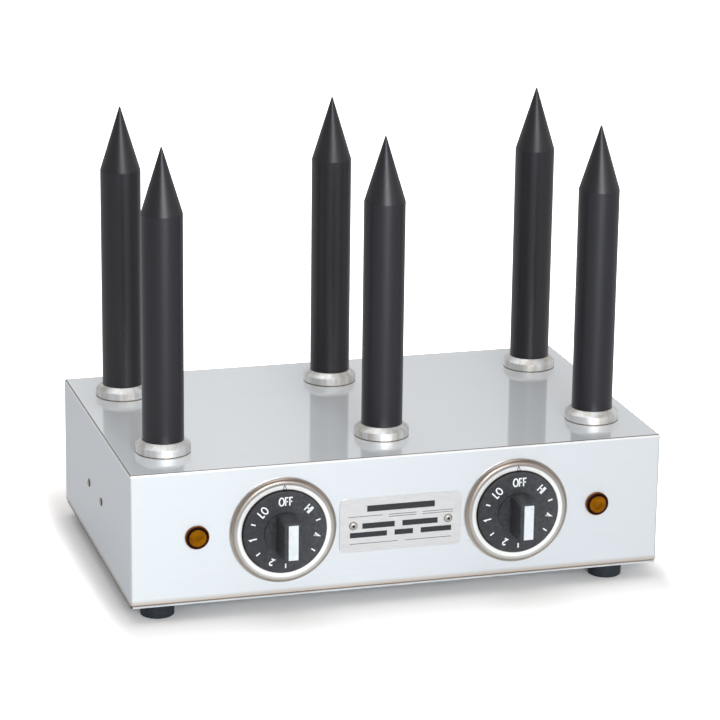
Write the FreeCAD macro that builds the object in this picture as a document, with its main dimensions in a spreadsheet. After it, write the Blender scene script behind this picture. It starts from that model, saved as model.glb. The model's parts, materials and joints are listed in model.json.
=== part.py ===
import FreeCAD, Part
import math
import os
import re
import Sketcher
from FreeCAD import Placement, Rotation, Vector

# A bun warmer: six heated spikes stand on a stainless steel box with two dial
# controls and two pilot lamps on its front. The origin is on the surface it
# stands on, under the middle of the box. +X is to the right of someone facing
# the front, +Y to the back and +Z up. All lengths are in millimetres.

doc = FreeCAD.newDocument("BunWarmer")
sheet = doc.addObject("Spreadsheet::Sheet", "Sizes")

SIZES = {
    # Box, folded from one gauge of sheet
    "casing_width": 344.0,
    "casing_depth": 211.0,
    "casing_height": 85.0,
    "sheet_thickness": 1.0,
    "bend_radius": 1.4,
    "flange_width": 11.0,
    "foot_drop": 11.0,
    # Base plate
    "base_thickness": 1.2,
    "base_inset": 0.6,
    "base_corner": 1.6,
    "vent_radius": 2.5,
    "vent_pitch": 14.0,
    "vent_bank_offset": 30.0,
    "base_screw_margin": 49.3,
    "base_screw_inset": 8.0,
    # Machine screws of the base, the controls and the terminal block
    "screw_radius": 2.0,
    "screw_head_radius": 3.5,
    "screw_head_height": 2.4,
    "screw_head_round": 1.2,
    "screw_hole_clearance": 0.2,
    "thread_clearance": 0.05,
    "base_screw_reach": 4.0,
    # Feet
    "foot_left_margin": 20.0,
    "foot_right_margin": 29.0,
    "foot_inset": 15.5,
    "foot_radius": 10.6,
    "foot_round": 0.8,
    "foot_recess_radius": 5.6,
    "foot_recess_depth": 4.6,
    "foot_screw_radius": 2.5,
    "foot_screw_head_radius": 4.8,
    "foot_screw_head_height": 3.2,
    "foot_screw_end": 2.0,
    "foot_nut_across": 8.0,
    "foot_nut_height": 4.0,
    # Spikes
    "column_margin": 30.7,
    "row_inset": 44.0,
    "spike_radius": 13.0,
    "spigot_step": 0.4,
    "spigot_gap": 0.2,
    "shoulder_height": 151.4,
    "shoulder_round": 1.0,
    "cone_height": 42.4,
    "tip_radius": 0.5,
    "neck_radius": 10.0,
    "neck_clearance": 0.3,
    "neck_end": 2.0,
    # Collars round the foot of each spike
    "collar_radius": 17.3,
    "collar_side_height": 5.0,
    "collar_height": 8.0,
    "collar_land": 0.65,
    "collar_lip": 1.5,
    "collar_clearance": 0.05,
    "collar_round": 0.4,
    "washer_radius": 15.0,
    "washer_thickness": 1.5,
    "locknut_across": 27.0,
    "locknut_height": 8.0,
    # Heater cartridges inside the spikes
    "heater_radius": 6.0,
    "heater_clearance": 0.2,
    "heater_top_gap": 2.0,
    "spike_crown": 8.0,
    "bush_across": 22.0,
    "bush_height": 6.0,
    "tail_radius": 3.0,
    "tail_length": 9.0,
    # Where the controls sit on the front
    "control_offset": 75.8,
    "control_height": 42.55,
    # Bezel dishes
    "bezel_radius": 34.05,
    "bezel_side": 0.9,
    "bezel_round": 3.0,
    "bezel_crest_radius": 31.0,
    "bezel_height": 3.5,
    "bezel_inner_radius": 27.0,
    "bezel_edge_height": 3.3,
    "bezel_floor": 0.8,
    "bezel_hole_radius": 8.0,
    "pointer_width": 3.2,
    "pointer_start": 27.2,
    "pointer_end": 30.7,
    "pointer_height": 3.9,
    # Knobs
    "dial_radius": 26.4,
    "dial_face": 5.8,
    "dial_round": 0.6,
    "dial_wall": 1.6,
    "skirt_gap": 0.6,
    "grip_height": 20.0,
    "grip_base_radius": 13.4,
    "grip_top_radius": 12.6,
    "grip_width": 11.4,
    "grip_round": 0.6,
    "ridge_height": 1.2,
    "hub_radius": 6.5,
    "hub_depth": 17.0,
    "insert_width": 6.2,
    "insert_length": 22.4,
    "insert_depth": 1.5,
    "insert_clearance": 0.05,
    # Regulators behind the controls
    "spindle_radius": 3.0,
    "spindle_flat": 1.6,
    "spindle_running": 0.05,
    "spindle_seat": 14.0,
    "spindle_end_gap": 0.2,
    "spring_thickness": 0.4,
    "spring_width": 3.6,
    "spring_length": 12.0,
    "regulator_width": 38.0,
    "regulator_tall": 44.0,
    "regulator_depth": 26.0,
    "regulator_corner": 2.0,
    "terminal_pad_width": 28.0,
    "terminal_pad_tall": 34.0,
    "terminal_pad_depth": 6.0,
    "regulator_bush_radius": 5.0,
    "regulator_bush_end": 0.6,
    "regulator_screw_pitch": 28.0,
    "regulator_screw_reach": 8.0,
    # Pilot lamps
    "lamp_offset": 130.2,
    "lamp_height": 42.3,
    "lens_radius": 7.55,
    "lens_flange": 1.2,
    "lens_height": 2.5,
    "lens_face_radius": 5.4,
    "lens_wall": 1.2,
    "lens_sleeve_radius": 5.0,
    "lens_sleeve_depth": 5.0,
    "lamp_radius": 6.4,
    "lamp_wall": 1.3,
    "lamp_clearance": 0.1,
    "lamp_length": 30.0,
    "clip_radius": 9.5,
    "clip_thickness": 1.2,
    # Rating plate
    "plate_width": 79.0,
    "plate_tall": 35.0,
    "plate_thickness": 0.8,
    "plate_corner": 3.7,
    "plate_height": 41.2,
    "plate_rivet_offset": 30.9,
    # Blind rivets
    "rivet_radius": 1.6,
    "rivet_head_radius": 2.8,
    "rivet_head_height": 1.1,
    "rivet_head_round": 5.0,
    "mandrel_radius": 0.9,
    "mandrel_depth": 0.6,
    "rivet_tail_radius": 2.3,
    "rivet_tail_height": 1.6,
    "side_rivet_behind": 108.5,
    "side_rivet_spread": 39.2,
    "side_rivet_height": 38.9,
    # Terminal bracket and block on the left end
    "bracket_thickness": 1.5,
    "bracket_length": 56.0,
    "bracket_tall": 25.0,
    "shelf_height": 25.0,
    "shelf_width": 46.0,
    "block_length": 44.0,
    "block_width": 24.0,
    "block_tall": 20.0,
    "block_corner": 1.5,
    "block_wall_gap": 12.0,
    "block_screw_pitch": 34.0,
    "well_radius": 3.0,
    "well_depth": 8.0,
    "well_pitch": 9.0,
    # Cable gland on the back
    "gland_margin": 60.0,
    "gland_height": 38.0,
    "gland_thread_radius": 10.0,
    "gland_thread_length": 12.0,
    "gland_across": 24.0,
    "gland_flange": 5.0,
    "gland_bore_radius": 6.5,
    "gland_neck_radius": 9.0,
    "gland_neck_length": 14.0,
    "gland_nut_length": 20.8,
    "gland_nut_hex": 12.0,
    "gland_nut_end": 2.5,
    "gland_nut_mouth": 6.0,
    "gland_dome_round": 14.0,
    "gland_dome_radius": 8.5,
    "seal_radius": 7.6,
    "seal_bore_radius": 5.0,
    "seal_length": 11.0,
    "gland_locknut_across": 26.0,
    "gland_locknut_height": 5.0,
    # Earth stud on the back
    "earth_spacing": 35.0,
    "earth_radius": 2.5,
    "earth_length": 18.0,
    "earth_flange_radius": 4.5,
    "earth_flange": 1.5,
    "earth_nut_across": 8.0,
    "earth_nut_height": 4.0,
    "lug_thickness": 0.8,
    "lug_radius": 6.0,
    "lug_crimp": 0.3,
    # Leads, with their insulation
    "heater_lead_radius": 2.5,
    "heater_lead_bend": 8.0,
    "supply_lead_radius": 2.5,
    "supply_lead_bend": 12.0,
    "lamp_lead_radius": 1.5,
    "lamp_lead_bend": 7.0,
    "low_lead_height": 40.0,
    "high_lead_height": 45.0,
    "supply_lead_height": 48.5,
    "link_lead_height": 61.0,
    "link_lead_reach": 27.5,
    "lamp_lead_reach": 17.5,
    "earth_lead_reach": 11.0,
    "inner_lead_offset": 6.0,
    "outer_lead_offset": 10.0,
    "middle_lead_offset": 4.0,
}

# Places and lengths that follow from the sizes above
WORKED_OUT = {
    "front": "-casing_depth / 2",
    "back": "casing_depth / 2",
    "left_end": "-casing_width / 2",
    "casing_top": "foot_drop + casing_height",
    "column_pitch": "casing_width / 2 - column_margin",
    "row_offset": "casing_depth / 2 - row_inset",
    "foot_row": "casing_depth / 2 - foot_inset",
    "foot_left_offset": "casing_width / 2 - foot_left_margin",
    "foot_right_offset": "casing_width / 2 - foot_right_margin",
    "foot_height": "foot_drop - base_thickness",
    "base_screw_row": "casing_depth / 2 - base_screw_inset",
    "base_screw_offset": "casing_width / 2 - base_screw_margin",
    "control_level": "foot_drop + control_height",
    "lamp_level": "foot_drop + lamp_height",
    "neck_bottom": "-(sheet_thickness + washer_thickness + locknut_height + neck_end)",
    "spike_bore_radius": "heater_radius + heater_clearance",
    "spike_bore_top": "shoulder_height - spike_crown",
    "half_angle": "atan(spike_radius / cone_height)",
    "apex_height": "shoulder_height + cone_height",
    "tip_centre": "apex_height - tip_radius / sin(half_angle)",
    "spigot_radius": "spike_radius - spigot_step",
    "collar_bore": "spigot_radius + collar_clearance",
    "neck_hole": "neck_radius + neck_clearance",
    "screw_hole": "screw_radius + screw_hole_clearance",
    "screw_thread": "screw_radius + thread_clearance",
    "foot_screw_hole": "foot_screw_radius + screw_hole_clearance",
    "skirt_bottom": "bezel_floor + skirt_gap",
    "dial_underside": "dial_face - dial_wall",
    "grip_face": "dial_face + grip_height",
    "hub_top": "skirt_bottom + hub_depth",
    "hub_bore": "spindle_radius + insert_clearance",
    "hub_flat": "spindle_flat + spring_thickness + 2 * insert_clearance",
    "regulator_back": "sheet_thickness + regulator_depth + terminal_pad_depth",
    "lamp_bore": "lamp_radius - lamp_wall",
    "lamp_hole": "lamp_radius + lamp_clearance",
    "rivet_hole": "rivet_radius + thread_clearance",
    "plate_level": "foot_drop + plate_height",
    "bracket_wall": "left_end + sheet_thickness",
    "bracket_middle": "front + side_rivet_behind",
    "side_rivet_level": "foot_drop + side_rivet_height",
    "shelf_level": "foot_drop + shelf_height",
    "block_floor": "shelf_level + bracket_thickness",
    "block_left": "bracket_wall + block_wall_gap",
    "block_middle": "block_left + block_width / 2",
    "gland_offset": "casing_width / 2 - gland_margin",
    "gland_level": "foot_drop + gland_height",
    "gland_hole": "gland_thread_radius + screw_hole_clearance",
    "gland_nut_top": "gland_flange + gland_nut_length",
    "seal_seat": "gland_nut_top - gland_nut_end - seal_length",
    "earth_offset": "gland_offset - earth_spacing",
    "earth_nut_start": "sheet_thickness + earth_flange + lug_thickness",
    "heater_tail_level": "casing_top + neck_bottom - bush_height - tail_length",
    "regulator_rear": "front + regulator_back",
}

# Which way a turned or padded piece faces once its own +Z leaves the box
UP = Rotation()
OUT_OF_FRONT = Rotation(Vector(1, 0, 0), 90)
OUT_OF_BACK = Rotation(Vector(1, 0, 0), -90)
OUT_OF_LEFT = Rotation(Vector(0, 1, 0), -90)

SIDES = (("left", -1), ("right", 1))
ROWS = (("front", -1), ("rear", 1))
COLUMNS = (("left", -1), ("middle", 0), ("right", 1))
VENT_COLUMNS = 9
VENT_ROWS = 4
TERMINALS = (-1, 0, 1)

parts = []


def fill_sheet():
    """Put each size in a cell of its own, under its name."""
    for row, (name, number) in enumerate(SIZES.items(), start=1):
        sheet.set(f"A{row}", name)
        sheet.set(f"B{row}", str(number))
        sheet.setAlias(f"B{row}", name)
    doc.recompute()


def formula(text):
    """An expression in which each size points at its cell."""

    def cell(word):
        name = word[0]
        if name in WORKED_OUT:
            return f"({formula(WORKED_OUT[name])})"
        return f"Sizes.{name}" if name in SIZES else name

    return re.sub(r"[a-z_]+", cell, str(text))


def value(text):
    """The number that a formula gives now."""
    return float(sheet.evalExpression(formula(text)))


def bind(item, field, text):
    item.setExpression(field, formula(text))


def place(item, x=0, y=0, z=0, turn=UP):
    """Stand a piece at formulas for its place, turned one of the ways above."""
    item.Placement = Placement(Vector(), turn)
    for letter, text in zip("xyz", (x, y, z)):
        bind(item, f"Placement.Base.{letter}", text)


def new_body(name):
    made = doc.addObject("PartDesign::Body", name)
    made.Label = name
    return made


def keep(item):
    """List a piece as one that gets a file."""
    parts.append(item)
    return item


def sketch(body, name, role="XY_Plane", rise=0):
    """A sketch on a plane of the body, moved along that plane's normal."""
    plane = next(item for item in body.Origin.OriginFeatures if item.Role == role)
    drawn = body.newObject("Sketcher::SketchObject", f"{body.Name}_{name}")
    drawn.AttachmentSupport = [(plane, "")]
    drawn.MapMode = "FlatFace"
    bind(drawn, "AttachmentOffset.Base.z", rise)
    return drawn


def constrain(drawn, kind, places, text):
    """Add a constraint whose size is a formula."""
    number = drawn.addConstraint(Sketcher.Constraint(kind, *places, value(text)))
    drawn.setExpression(f"Constraints[{number}]", formula(text))


def arc_between(start, end, radius, leftwards):
    """The short arc from start to end, turning left or right on its way."""
    chord = end - start
    across = Vector(-chord.y, chord.x, 0).normalize()
    if not leftwards:
        across = across * -1
    reach = math.sqrt(max(radius * radius - chord.Length * chord.Length / 4, 0))
    centre = (start + end) * 0.5 + across * reach
    first, last = (start, end) if leftwards else (end, start)
    angles = [math.atan2(p.y - centre.y, p.x - centre.x) for p in (first, last)]
    return Part.ArcOfCircle(Part.Circle(centre, Vector(0, 0, 1), radius), *angles)


def outline(drawn, corners):
    """Close a loop through corners given as x and y.

    A corner that goes on with a radius and a side, left or right, has an arc
    instead of a straight edge from there to the next corner.
    """
    spots = [Vector(value(corner[0]), value(corner[1]), 0) for corner in corners]
    first_edge = drawn.GeometryCount
    ends = []
    for index, corner in enumerate(corners):
        start, end = spots[index], spots[(index + 1) % len(spots)]
        if len(corner) == 2:
            drawn.addGeometry(Part.LineSegment(start, end), False)
            ends.append((1, 2))
        else:
            leftwards = corner[3] == "left"
            arc = arc_between(start, end, value(corner[2]), leftwards)
            drawn.addGeometry(arc, False)
            ends.append((1, 2) if leftwards else (2, 1))
    for index, corner in enumerate(corners):
        edge = first_edge + index
        after = (index + 1) % len(corners)
        joined = (edge, ends[index][1], first_edge + after, ends[after][0])
        drawn.addConstraint(Sketcher.Constraint("Coincident", *joined))
        constrain(drawn, "DistanceX", (-1, 1, edge, ends[index][0]), corner[0])
        constrain(drawn, "DistanceY", (-1, 1, edge, ends[index][0]), corner[1])
        if len(corner) > 2:
            constrain(drawn, "Radius", (edge,), corner[2])


def rectangle(drawn, left, right, low, high):
    outline(drawn, [(left, low), (right, low), (right, high), (left, high)])


def middle_rectangle(drawn, width, tall, inset=0):
    """A rectangle about the sketch's origin, drawn in by an inset."""
    across, along = f"({width}) / 2 - ({inset})", f"({tall}) / 2 - ({inset})"
    rectangle(drawn, f"-({across})", across, f"-({along})", along)


def circle(drawn, x, y, radius):
    centre = Vector(value(x), value(y), 0)
    drawn.addGeometry(Part.Circle(centre, Vector(0, 0, 1), value(radius)), False)
    edge = drawn.GeometryCount - 1
    constrain(drawn, "DistanceX", (-1, 1, edge, 3), x)
    constrain(drawn, "DistanceY", (-1, 1, edge, 3), y)
    constrain(drawn, "Radius", (edge,), radius)


def hexagon(drawn, across):
    """A hexagon with corners on the sketch's X axis, given across its flats."""
    reach = f"{across} / sqrt(3)"
    turns = range(0, 360, 60)
    corners = [(f"{reach} * cos({turn} deg)", f"{reach} * sin({turn} deg)") for turn in turns]
    outline(drawn, corners)


def feature(body, kind, name, drawn, text, down=False):
    """A pad or pocket of a sketch, up or down the sketch's normal."""
    made = body.newObject(f"PartDesign::{kind}", f"{body.Name}_{name}")
    made.Profile = drawn
    bind(made, "Length", text)
    made.Reversed = down
    return made


def pad(body, name, drawn, text, down=False):
    made = feature(body, "Pad", name, drawn, text, down)
    doc.recompute()
    return made


def pocket(body, name, drawn, text, down=True):
    """Cut a sketch into the body, and make sure that it took something away."""
    before = body.Shape.Volume
    made = feature(body, "Pocket", name, drawn, text, not down)
    doc.recompute()
    if body.Shape.Volume >= before:
        raise RuntimeError(f"{made.Name} cuts nothing")
    return made


def fillet(body, name, radius, wanted):
    """Round the edges of the body that a test picks."""
    base = body.Tip
    chosen = [f"Edge{i}" for i, edge in enumerate(base.Shape.Edges, start=1) if wanted(edge)]
    made = body.newObject("PartDesign::Fillet", f"{body.Name}_{name}")
    made.Base = (base, chosen)
    bind(made, "Radius", radius)
    doc.recompute()
    return made


def revolved(body, name, corners):
    """Turn an outline, given as radius and height, about the body's Z axis."""
    drawn = sketch(body, f"{name}_profile", "XZ_Plane")
    outline(drawn, corners)
    made = body.newObject("PartDesign::Revolution", f"{body.Name}_{name}")
    made.Profile = drawn
    made.ReferenceAxis = (drawn, ["V_Axis"])
    made.Angle = 360
    doc.recompute()
    return made


def turned(name, corners):
    """A body that is one turned solid."""
    body = new_body(name)
    revolved(body, "turning", corners)
    return body


def group(name, pattern, places, turn=UP):
    """Copies of one piece, kept as one node of separate solids."""
    copies = []
    for number, (x, y, z) in enumerate(places, start=1):
        copy = doc.addObject("App::Link", f"{name}_{number}")
        copy.LinkedObject = pattern
        place(copy, x, y, z, turn)
        copies.append(copy)
    made = doc.addObject("Part::Compound", name)
    made.Label = name
    made.Links = copies
    doc.recompute()
    return keep(made)


def plain_edges(edge):
    return isinstance(edge.Curve, Part.Line)


def upright(edge):
    """Whether an edge runs along the body's own Z axis."""
    box = edge.BoundBox
    return plain_edges(edge) and box.ZLength > max(box.XLength, box.YLength)


def at_height(text):
    """A test for edges that lie flat at one height."""
    level = value(text)

    def lies_there(edge):
        return all(abs(z - level) < 1e-4 for z in (edge.BoundBox.ZMin, edge.BoundBox.ZMax))

    return lies_there


# Every place that repeats across the box
foot_places = [
    (f"{across}_{name}", x, f"{along} * (foot_row)")
    for across, along in ROWS
    for name, x in (("left", "-foot_left_offset"), ("right", "foot_right_offset"))
]
base_screw_places = [
    (f"{side} * base_screw_offset", f"{row} * (base_screw_row)")
    for _, row in ROWS
    for _, side in SIDES
]
spike_places = [
    (f"{row_name}_{column_name}", f"{column} * column_pitch", f"{row} * (row_offset)")
    for row_name, row in ROWS
    for column_name, column in COLUMNS
]
control_places = [(name, f"{side} * control_offset") for name, side in SIDES]
regulator_screw_places = [
    f"{side} * control_offset + {end} * regulator_screw_pitch / 2"
    for _, side in SIDES
    for _, end in SIDES
]
lamp_places = [(name, f"{side} * lamp_offset") for name, side in SIDES]
plate_rivet_places = [f"{side} * plate_rivet_offset" for _, side in SIDES]
side_rivet_places = [f"bracket_middle + {side} * side_rivet_spread / 2" for _, side in SIDES]


def inside_the_wall(edge):
    """Whether an edge of the casing belongs to its hollow."""
    gap = value("sheet_thickness") - 1e-4
    limits = (
        value("casing_width") / 2 - gap,
        value("casing_depth") / 2 - gap,
    )
    low, high = value("foot_drop") + gap, value("casing_top") - gap
    return all(
        abs(point.X) <= limits[0] and abs(point.Y) <= limits[1] and low <= point.Z <= high
        for point in edge.Vertexes
    )


def make_casing():
    """The folded box, with an inward flange round its open bottom."""
    body = keep(new_body("casing"))
    outside = sketch(body, "outside", rise="foot_drop")
    middle_rectangle(outside, "casing_width", "casing_depth")
    pad(body, "block", outside, "casing_height")
    fillet(body, "bends", "bend_radius", plain_edges)

    hollow = sketch(body, "hollow", rise="foot_drop + sheet_thickness")
    middle_rectangle(hollow, "casing_width", "casing_depth", "sheet_thickness")
    pocket(body, "hollowed", hollow, "casing_height - 2 * sheet_thickness", down=False)
    fillet(body, "inner_bends", "bend_radius - sheet_thickness", inside_the_wall)

    mouth = sketch(body, "mouth", rise="foot_drop")
    middle_rectangle(mouth, "casing_width", "casing_depth", "flange_width")
    pocket(body, "opened", mouth, "sheet_thickness", down=False)

    top = sketch(body, "top_holes", rise="casing_top")
    for _, x, y in spike_places:
        circle(top, x, y, "neck_hole")
    pocket(body, "top_pierced", top, "sheet_thickness")

    face = sketch(body, "front_holes", "XZ_Plane", "-(front)")
    for _, x in control_places:
        circle(face, x, "control_level", "regulator_bush_radius + screw_hole_clearance")
    for x in regulator_screw_places:
        circle(face, x, "control_level", "screw_hole")
    for _, x in lamp_places:
        circle(face, x, "lamp_level", "lamp_hole")
    for x in plate_rivet_places:
        circle(face, x, "plate_level", "rivet_hole")
    pocket(body, "front_pierced", face, "sheet_thickness")

    rear = sketch(body, "back_holes", "XZ_Plane", "-(back)")
    circle(rear, "-gland_offset", "gland_level", "gland_hole")
    pocket(body, "back_pierced", rear, "sheet_thickness", down=False)

    end = sketch(body, "end_holes", "YZ_Plane", "left_end")
    for y in side_rivet_places:
        circle(end, y, "side_rivet_level", "rivet_hole")
    pocket(body, "end_pierced", end, "sheet_thickness", down=False)

    flange = sketch(body, "flange_holes", rise="foot_drop")
    for x, y in base_screw_places:
        circle(flange, x, y, "screw_thread")
    pocket(body, "flange_pierced", flange, "sheet_thickness", down=False)


def make_base_plate():
    """The plate that closes the bottom, with banks of vent holes."""
    body = keep(new_body("base_plate"))
    blank = sketch(body, "blank", rise="foot_height")
    middle_rectangle(blank, "casing_width", "casing_depth", "base_inset")
    pad(body, "sheet", blank, "base_thickness")
    fillet(body, "corners", "base_corner", upright)
    holes = sketch(body, "holes", rise="foot_drop")
    for x, y in base_screw_places:
        circle(holes, x, y, "screw_hole")
    for _, x, y in foot_places:
        circle(holes, x, y, "foot_screw_hole")
    for _, side in SIDES:
        for column in range(VENT_COLUMNS):
            for row in range(VENT_ROWS):
                x = f"({column} - {VENT_COLUMNS - 1} / 2) * vent_pitch"
                y = f"{side} * (vent_bank_offset + ({row} - {VENT_ROWS - 1} / 2) * vent_pitch)"
                circle(holes, x, y, "vent_radius")
    pocket(body, "pierced", holes, "base_thickness")


def pan_screw(name, radius, head_radius, head_height, head_round, reach):
    """A pan-head screw: its head stands on z = 0 and its shank goes down."""
    return turned(
        name,
        [
            (0, f"-({reach})"),
            (radius, f"-({reach})"),
            (radius, 0),
            (head_radius, 0),
            (head_radius, f"{head_height} - {head_round}", head_round, "left"),
            (f"{head_radius} - {head_round}", head_height),
            (0, head_height),
        ],
    )


def machine_screw(name, reach):
    return pan_screw(
        name, "screw_radius", "screw_head_radius", "screw_head_height", "screw_head_round", reach
    )


def hex_nut(name, across, tall, bore):
    """A hexagon nut that stands on z = 0."""
    body = new_body(name)
    flats = sketch(body, "flats")
    hexagon(flats, across)
    pad(body, "block", flats, tall)
    mouth = sketch(body, "mouth", rise=tall)
    circle(mouth, 0, 0, bore)
    pocket(body, "bored", mouth, tall)
    return body


def make_base_fasteners():
    """Screws up through the base plate into the casing's flange."""
    reach = "base_thickness + base_screw_reach"
    pattern = machine_screw("base_screw_pattern", reach)
    # The heads hang below the plate, so the screw is turned upside down.
    places = [(x, y, "foot_height") for x, y in base_screw_places]
    group("base_screws", pattern, places, Rotation(Vector(1, 0, 0), 180))


def make_feet():
    """Moulded feet, each held by a screw in its recess and a nut on the plate."""
    for name, x, y in foot_places:
        body = keep(
            turned(
                f"foot_{name}",
                [
                    ("foot_recess_radius", 0),
                    ("foot_radius - foot_round", 0, "foot_round", "left"),
                    ("foot_radius", "foot_round"),
                    ("foot_radius", "foot_height"),
                    ("foot_screw_hole", "foot_height"),
                    ("foot_screw_hole", "foot_recess_depth"),
                    ("foot_recess_radius", "foot_recess_depth"),
                ],
            )
        )
        place(body, x, y, 0)
    screw = pan_screw(
        "foot_screw_pattern",
        "foot_screw_radius",
        "foot_screw_head_radius",
        "foot_screw_head_height",
        "screw_head_round",
        "foot_drop - foot_recess_depth + foot_nut_height + foot_screw_end",
    )
    seats = [(x, y, "foot_recess_depth") for _, x, y in foot_places]
    group("foot_screws", screw, seats, Rotation(Vector(1, 0, 0), 180))
    nut = hex_nut(
        "foot_nut_pattern",
        "foot_nut_across",
        "foot_nut_height",
        "foot_screw_radius + thread_clearance",
    )
    group("foot_nuts", nut, [(x, y, "foot_drop") for _, x, y in foot_places])


def make_spikes():
    """Each spike: a bored bar with a cone on top, a spigot that seats in the collar and a threaded neck."""
    for name, x, y in spike_places:
        body = keep(
            turned(
                f"spike_{name}",
                [
                    ("spike_bore_radius", "neck_bottom"),
                    ("neck_radius", "neck_bottom"),
                    ("neck_radius", "collar_lip + spigot_gap"),
                    ("spigot_radius", "collar_lip + spigot_gap"),
                    ("spigot_radius", "collar_height"),
                    ("spike_radius", "collar_height"),
                    ("spike_radius", "shoulder_height"),
                    (
                        "tip_radius * cos(half_angle)",
                        "tip_centre + tip_radius * sin(half_angle)",
                        "tip_radius",
                        "left",
                    ),
                    (0, "tip_centre + tip_radius"),
                    (0, "spike_bore_top"),
                    ("spike_bore_radius", "spike_bore_top"),
                ],
            )
        )
        fillet(body, "shoulder", "shoulder_round", at_height("shoulder_height"))
        place(body, x, y, "casing_top")

        collar = keep(
            turned(
                f"spike_collar_{name}",
                [
                    ("neck_hole", 0),
                    ("collar_radius", 0),
                    ("collar_radius", "collar_side_height"),
                    ("spike_radius + collar_land", "collar_height"),
                    ("collar_bore", "collar_height"),
                    ("collar_bore", "collar_lip"),
                    ("neck_hole", "collar_lip"),
                ],
            )
        )
        fillet(collar, "edge", "collar_round", at_height("collar_side_height"))
        place(collar, x, y, "casing_top")


def make_spike_fasteners():
    """A washer and a locknut hold each spike's neck under the casing's top."""
    washer = turned(
        "spike_washer_pattern",
        [
            ("neck_hole", 0),
            ("washer_radius", 0),
            ("washer_radius", "washer_thickness"),
            ("neck_hole", "washer_thickness"),
        ],
    )
    under = "casing_top - sheet_thickness - washer_thickness"
    group("spike_washers", washer, [(x, y, under) for _, x, y in spike_places])
    nut = hex_nut(
        "spike_locknut_pattern",
        "locknut_across",
        "locknut_height",
        "neck_radius + thread_clearance",
    )
    lower = f"{under} - locknut_height"
    group("spike_locknuts", nut, [(x, y, lower) for _, x, y in spike_places])


def make_heaters():
    """Cartridge heaters: a sheath up the bore, a hexagon bush and a lead tail."""
    pattern = new_body("heater_pattern")
    sheath = sketch(pattern, "sheath")
    circle(sheath, 0, 0, "heater_radius")
    pad(pattern, "sheath_bar", sheath, "spike_bore_top - neck_bottom - heater_top_gap")
    bush = sketch(pattern, "bush")
    hexagon(bush, "bush_across")
    pad(pattern, "bush_block", bush, "bush_height", down=True)
    tail = sketch(pattern, "tail", rise="-bush_height")
    circle(tail, 0, 0, "tail_radius")
    pad(pattern, "tail_sleeve", tail, "tail_length", down=True)
    seats = [(x, y, "casing_top + neck_bottom") for _, x, y in spike_places]
    group("heater_cartridges", pattern, seats)


def make_bezels():
    """Chromed dishes round the dials, each with a fixed pointer at the top."""
    for name, x in control_places:
        body = keep(
            turned(
                f"bezel_{name}",
                [
                    ("bezel_hole_radius", 0),
                    ("bezel_radius", 0),
                    ("bezel_radius", "bezel_side", "bezel_round", "left"),
                    ("bezel_crest_radius", "bezel_height"),
                    ("bezel_inner_radius", "bezel_edge_height"),
                    ("bezel_inner_radius", "bezel_floor"),
                    ("bezel_hole_radius", "bezel_floor"),
                ],
            )
        )
        arrow = sketch(body, "pointer")
        outline(
            arrow,
            [
                ("-pointer_width / 2", "pointer_start"),
                ("pointer_width / 2", "pointer_start"),
                (0, "pointer_end"),
            ],
        )
        pad(body, "pointer_wedge", arrow, "pointer_height")
        holes = sketch(body, "screw_holes", rise="bezel_floor")
        for _, end in SIDES:
            circle(holes, f"{end} * regulator_screw_pitch / 2", 0, "screw_hole")
        pocket(body, "pierced", holes, "bezel_floor")
        place(body, x, "front", "control_level", OUT_OF_FRONT)


def d_shape(drawn, radius, flat):
    """A circle with a flat across its upper side, as two arcs and a line."""
    reach = f"sqrt(({radius}) ^ 2 - ({flat}) ^ 2)"
    outline(
        drawn,
        [
            (f"-{reach}", flat),
            (reach, flat, radius, "right"),
            (0, f"-({radius})", radius, "right"),
        ],
    )


def make_knobs():
    """Moulded knobs: a dial skirt with a bar grip cut from a tapered boss."""
    for name, x in control_places:
        body = keep(new_body(f"knob_{name}"))
        revolved(
            body,
            "moulding",
            [
                (0, "skirt_bottom"),
                ("hub_radius", "skirt_bottom"),
                ("hub_radius", "dial_underside"),
                ("dial_radius - dial_wall", "dial_underside"),
                ("dial_radius - dial_wall", "skirt_bottom"),
                ("dial_radius", "skirt_bottom"),
                ("dial_radius", "dial_face - dial_round", "dial_round", "left"),
                ("dial_radius - dial_round", "dial_face"),
                ("grip_base_radius", "dial_face"),
                ("grip_top_radius", "grip_face"),
                (0, "grip_face"),
            ],
        )
        scoops = sketch(body, "scoops", rise="grip_face")
        for near, far in (("grip_width / 2", "dial_radius"), ("-dial_radius", "-grip_width / 2")):
            rectangle(scoops, near, far, "-dial_radius", "dial_radius")
        pocket(body, "scooped", scoops, "grip_height - ridge_height")
        fillet(body, "grip_edge", "grip_round", at_height("grip_face"))
        slot = sketch(body, "slot", rise="grip_face")
        middle_rectangle(slot, "insert_width", "insert_length", "-insert_clearance")
        pocket(body, "slotted", slot, "insert_depth")
        bore = sketch(body, "bore", rise="skirt_bottom")
        d_shape(bore, "hub_bore", "hub_flat")
        pocket(body, "bored", bore, "hub_depth", down=False)
        place(body, x, "front", "control_level", OUT_OF_FRONT)

        insert = keep(new_body(f"knob_insert_{name}"))
        strip = sketch(insert, "strip", rise="grip_face - insert_depth")
        middle_rectangle(strip, "insert_width", "insert_length")
        pad(insert, "bar", strip, "insert_depth")
        place(insert, x, "front", "control_level", OUT_OF_FRONT)

        spring = keep(new_body(f"knob_spring_{name}"))
        blade = sketch(spring, "blade", rise="hub_top - spring_length")
        rectangle(
            blade,
            "-spring_width / 2",
            "spring_width / 2",
            "spindle_flat + insert_clearance",
            "spindle_flat + insert_clearance + spring_thickness",
        )
        pad(spring, "strip", blade, "spring_length")
        place(spring, x, "front", "control_level", OUT_OF_FRONT)


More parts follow.
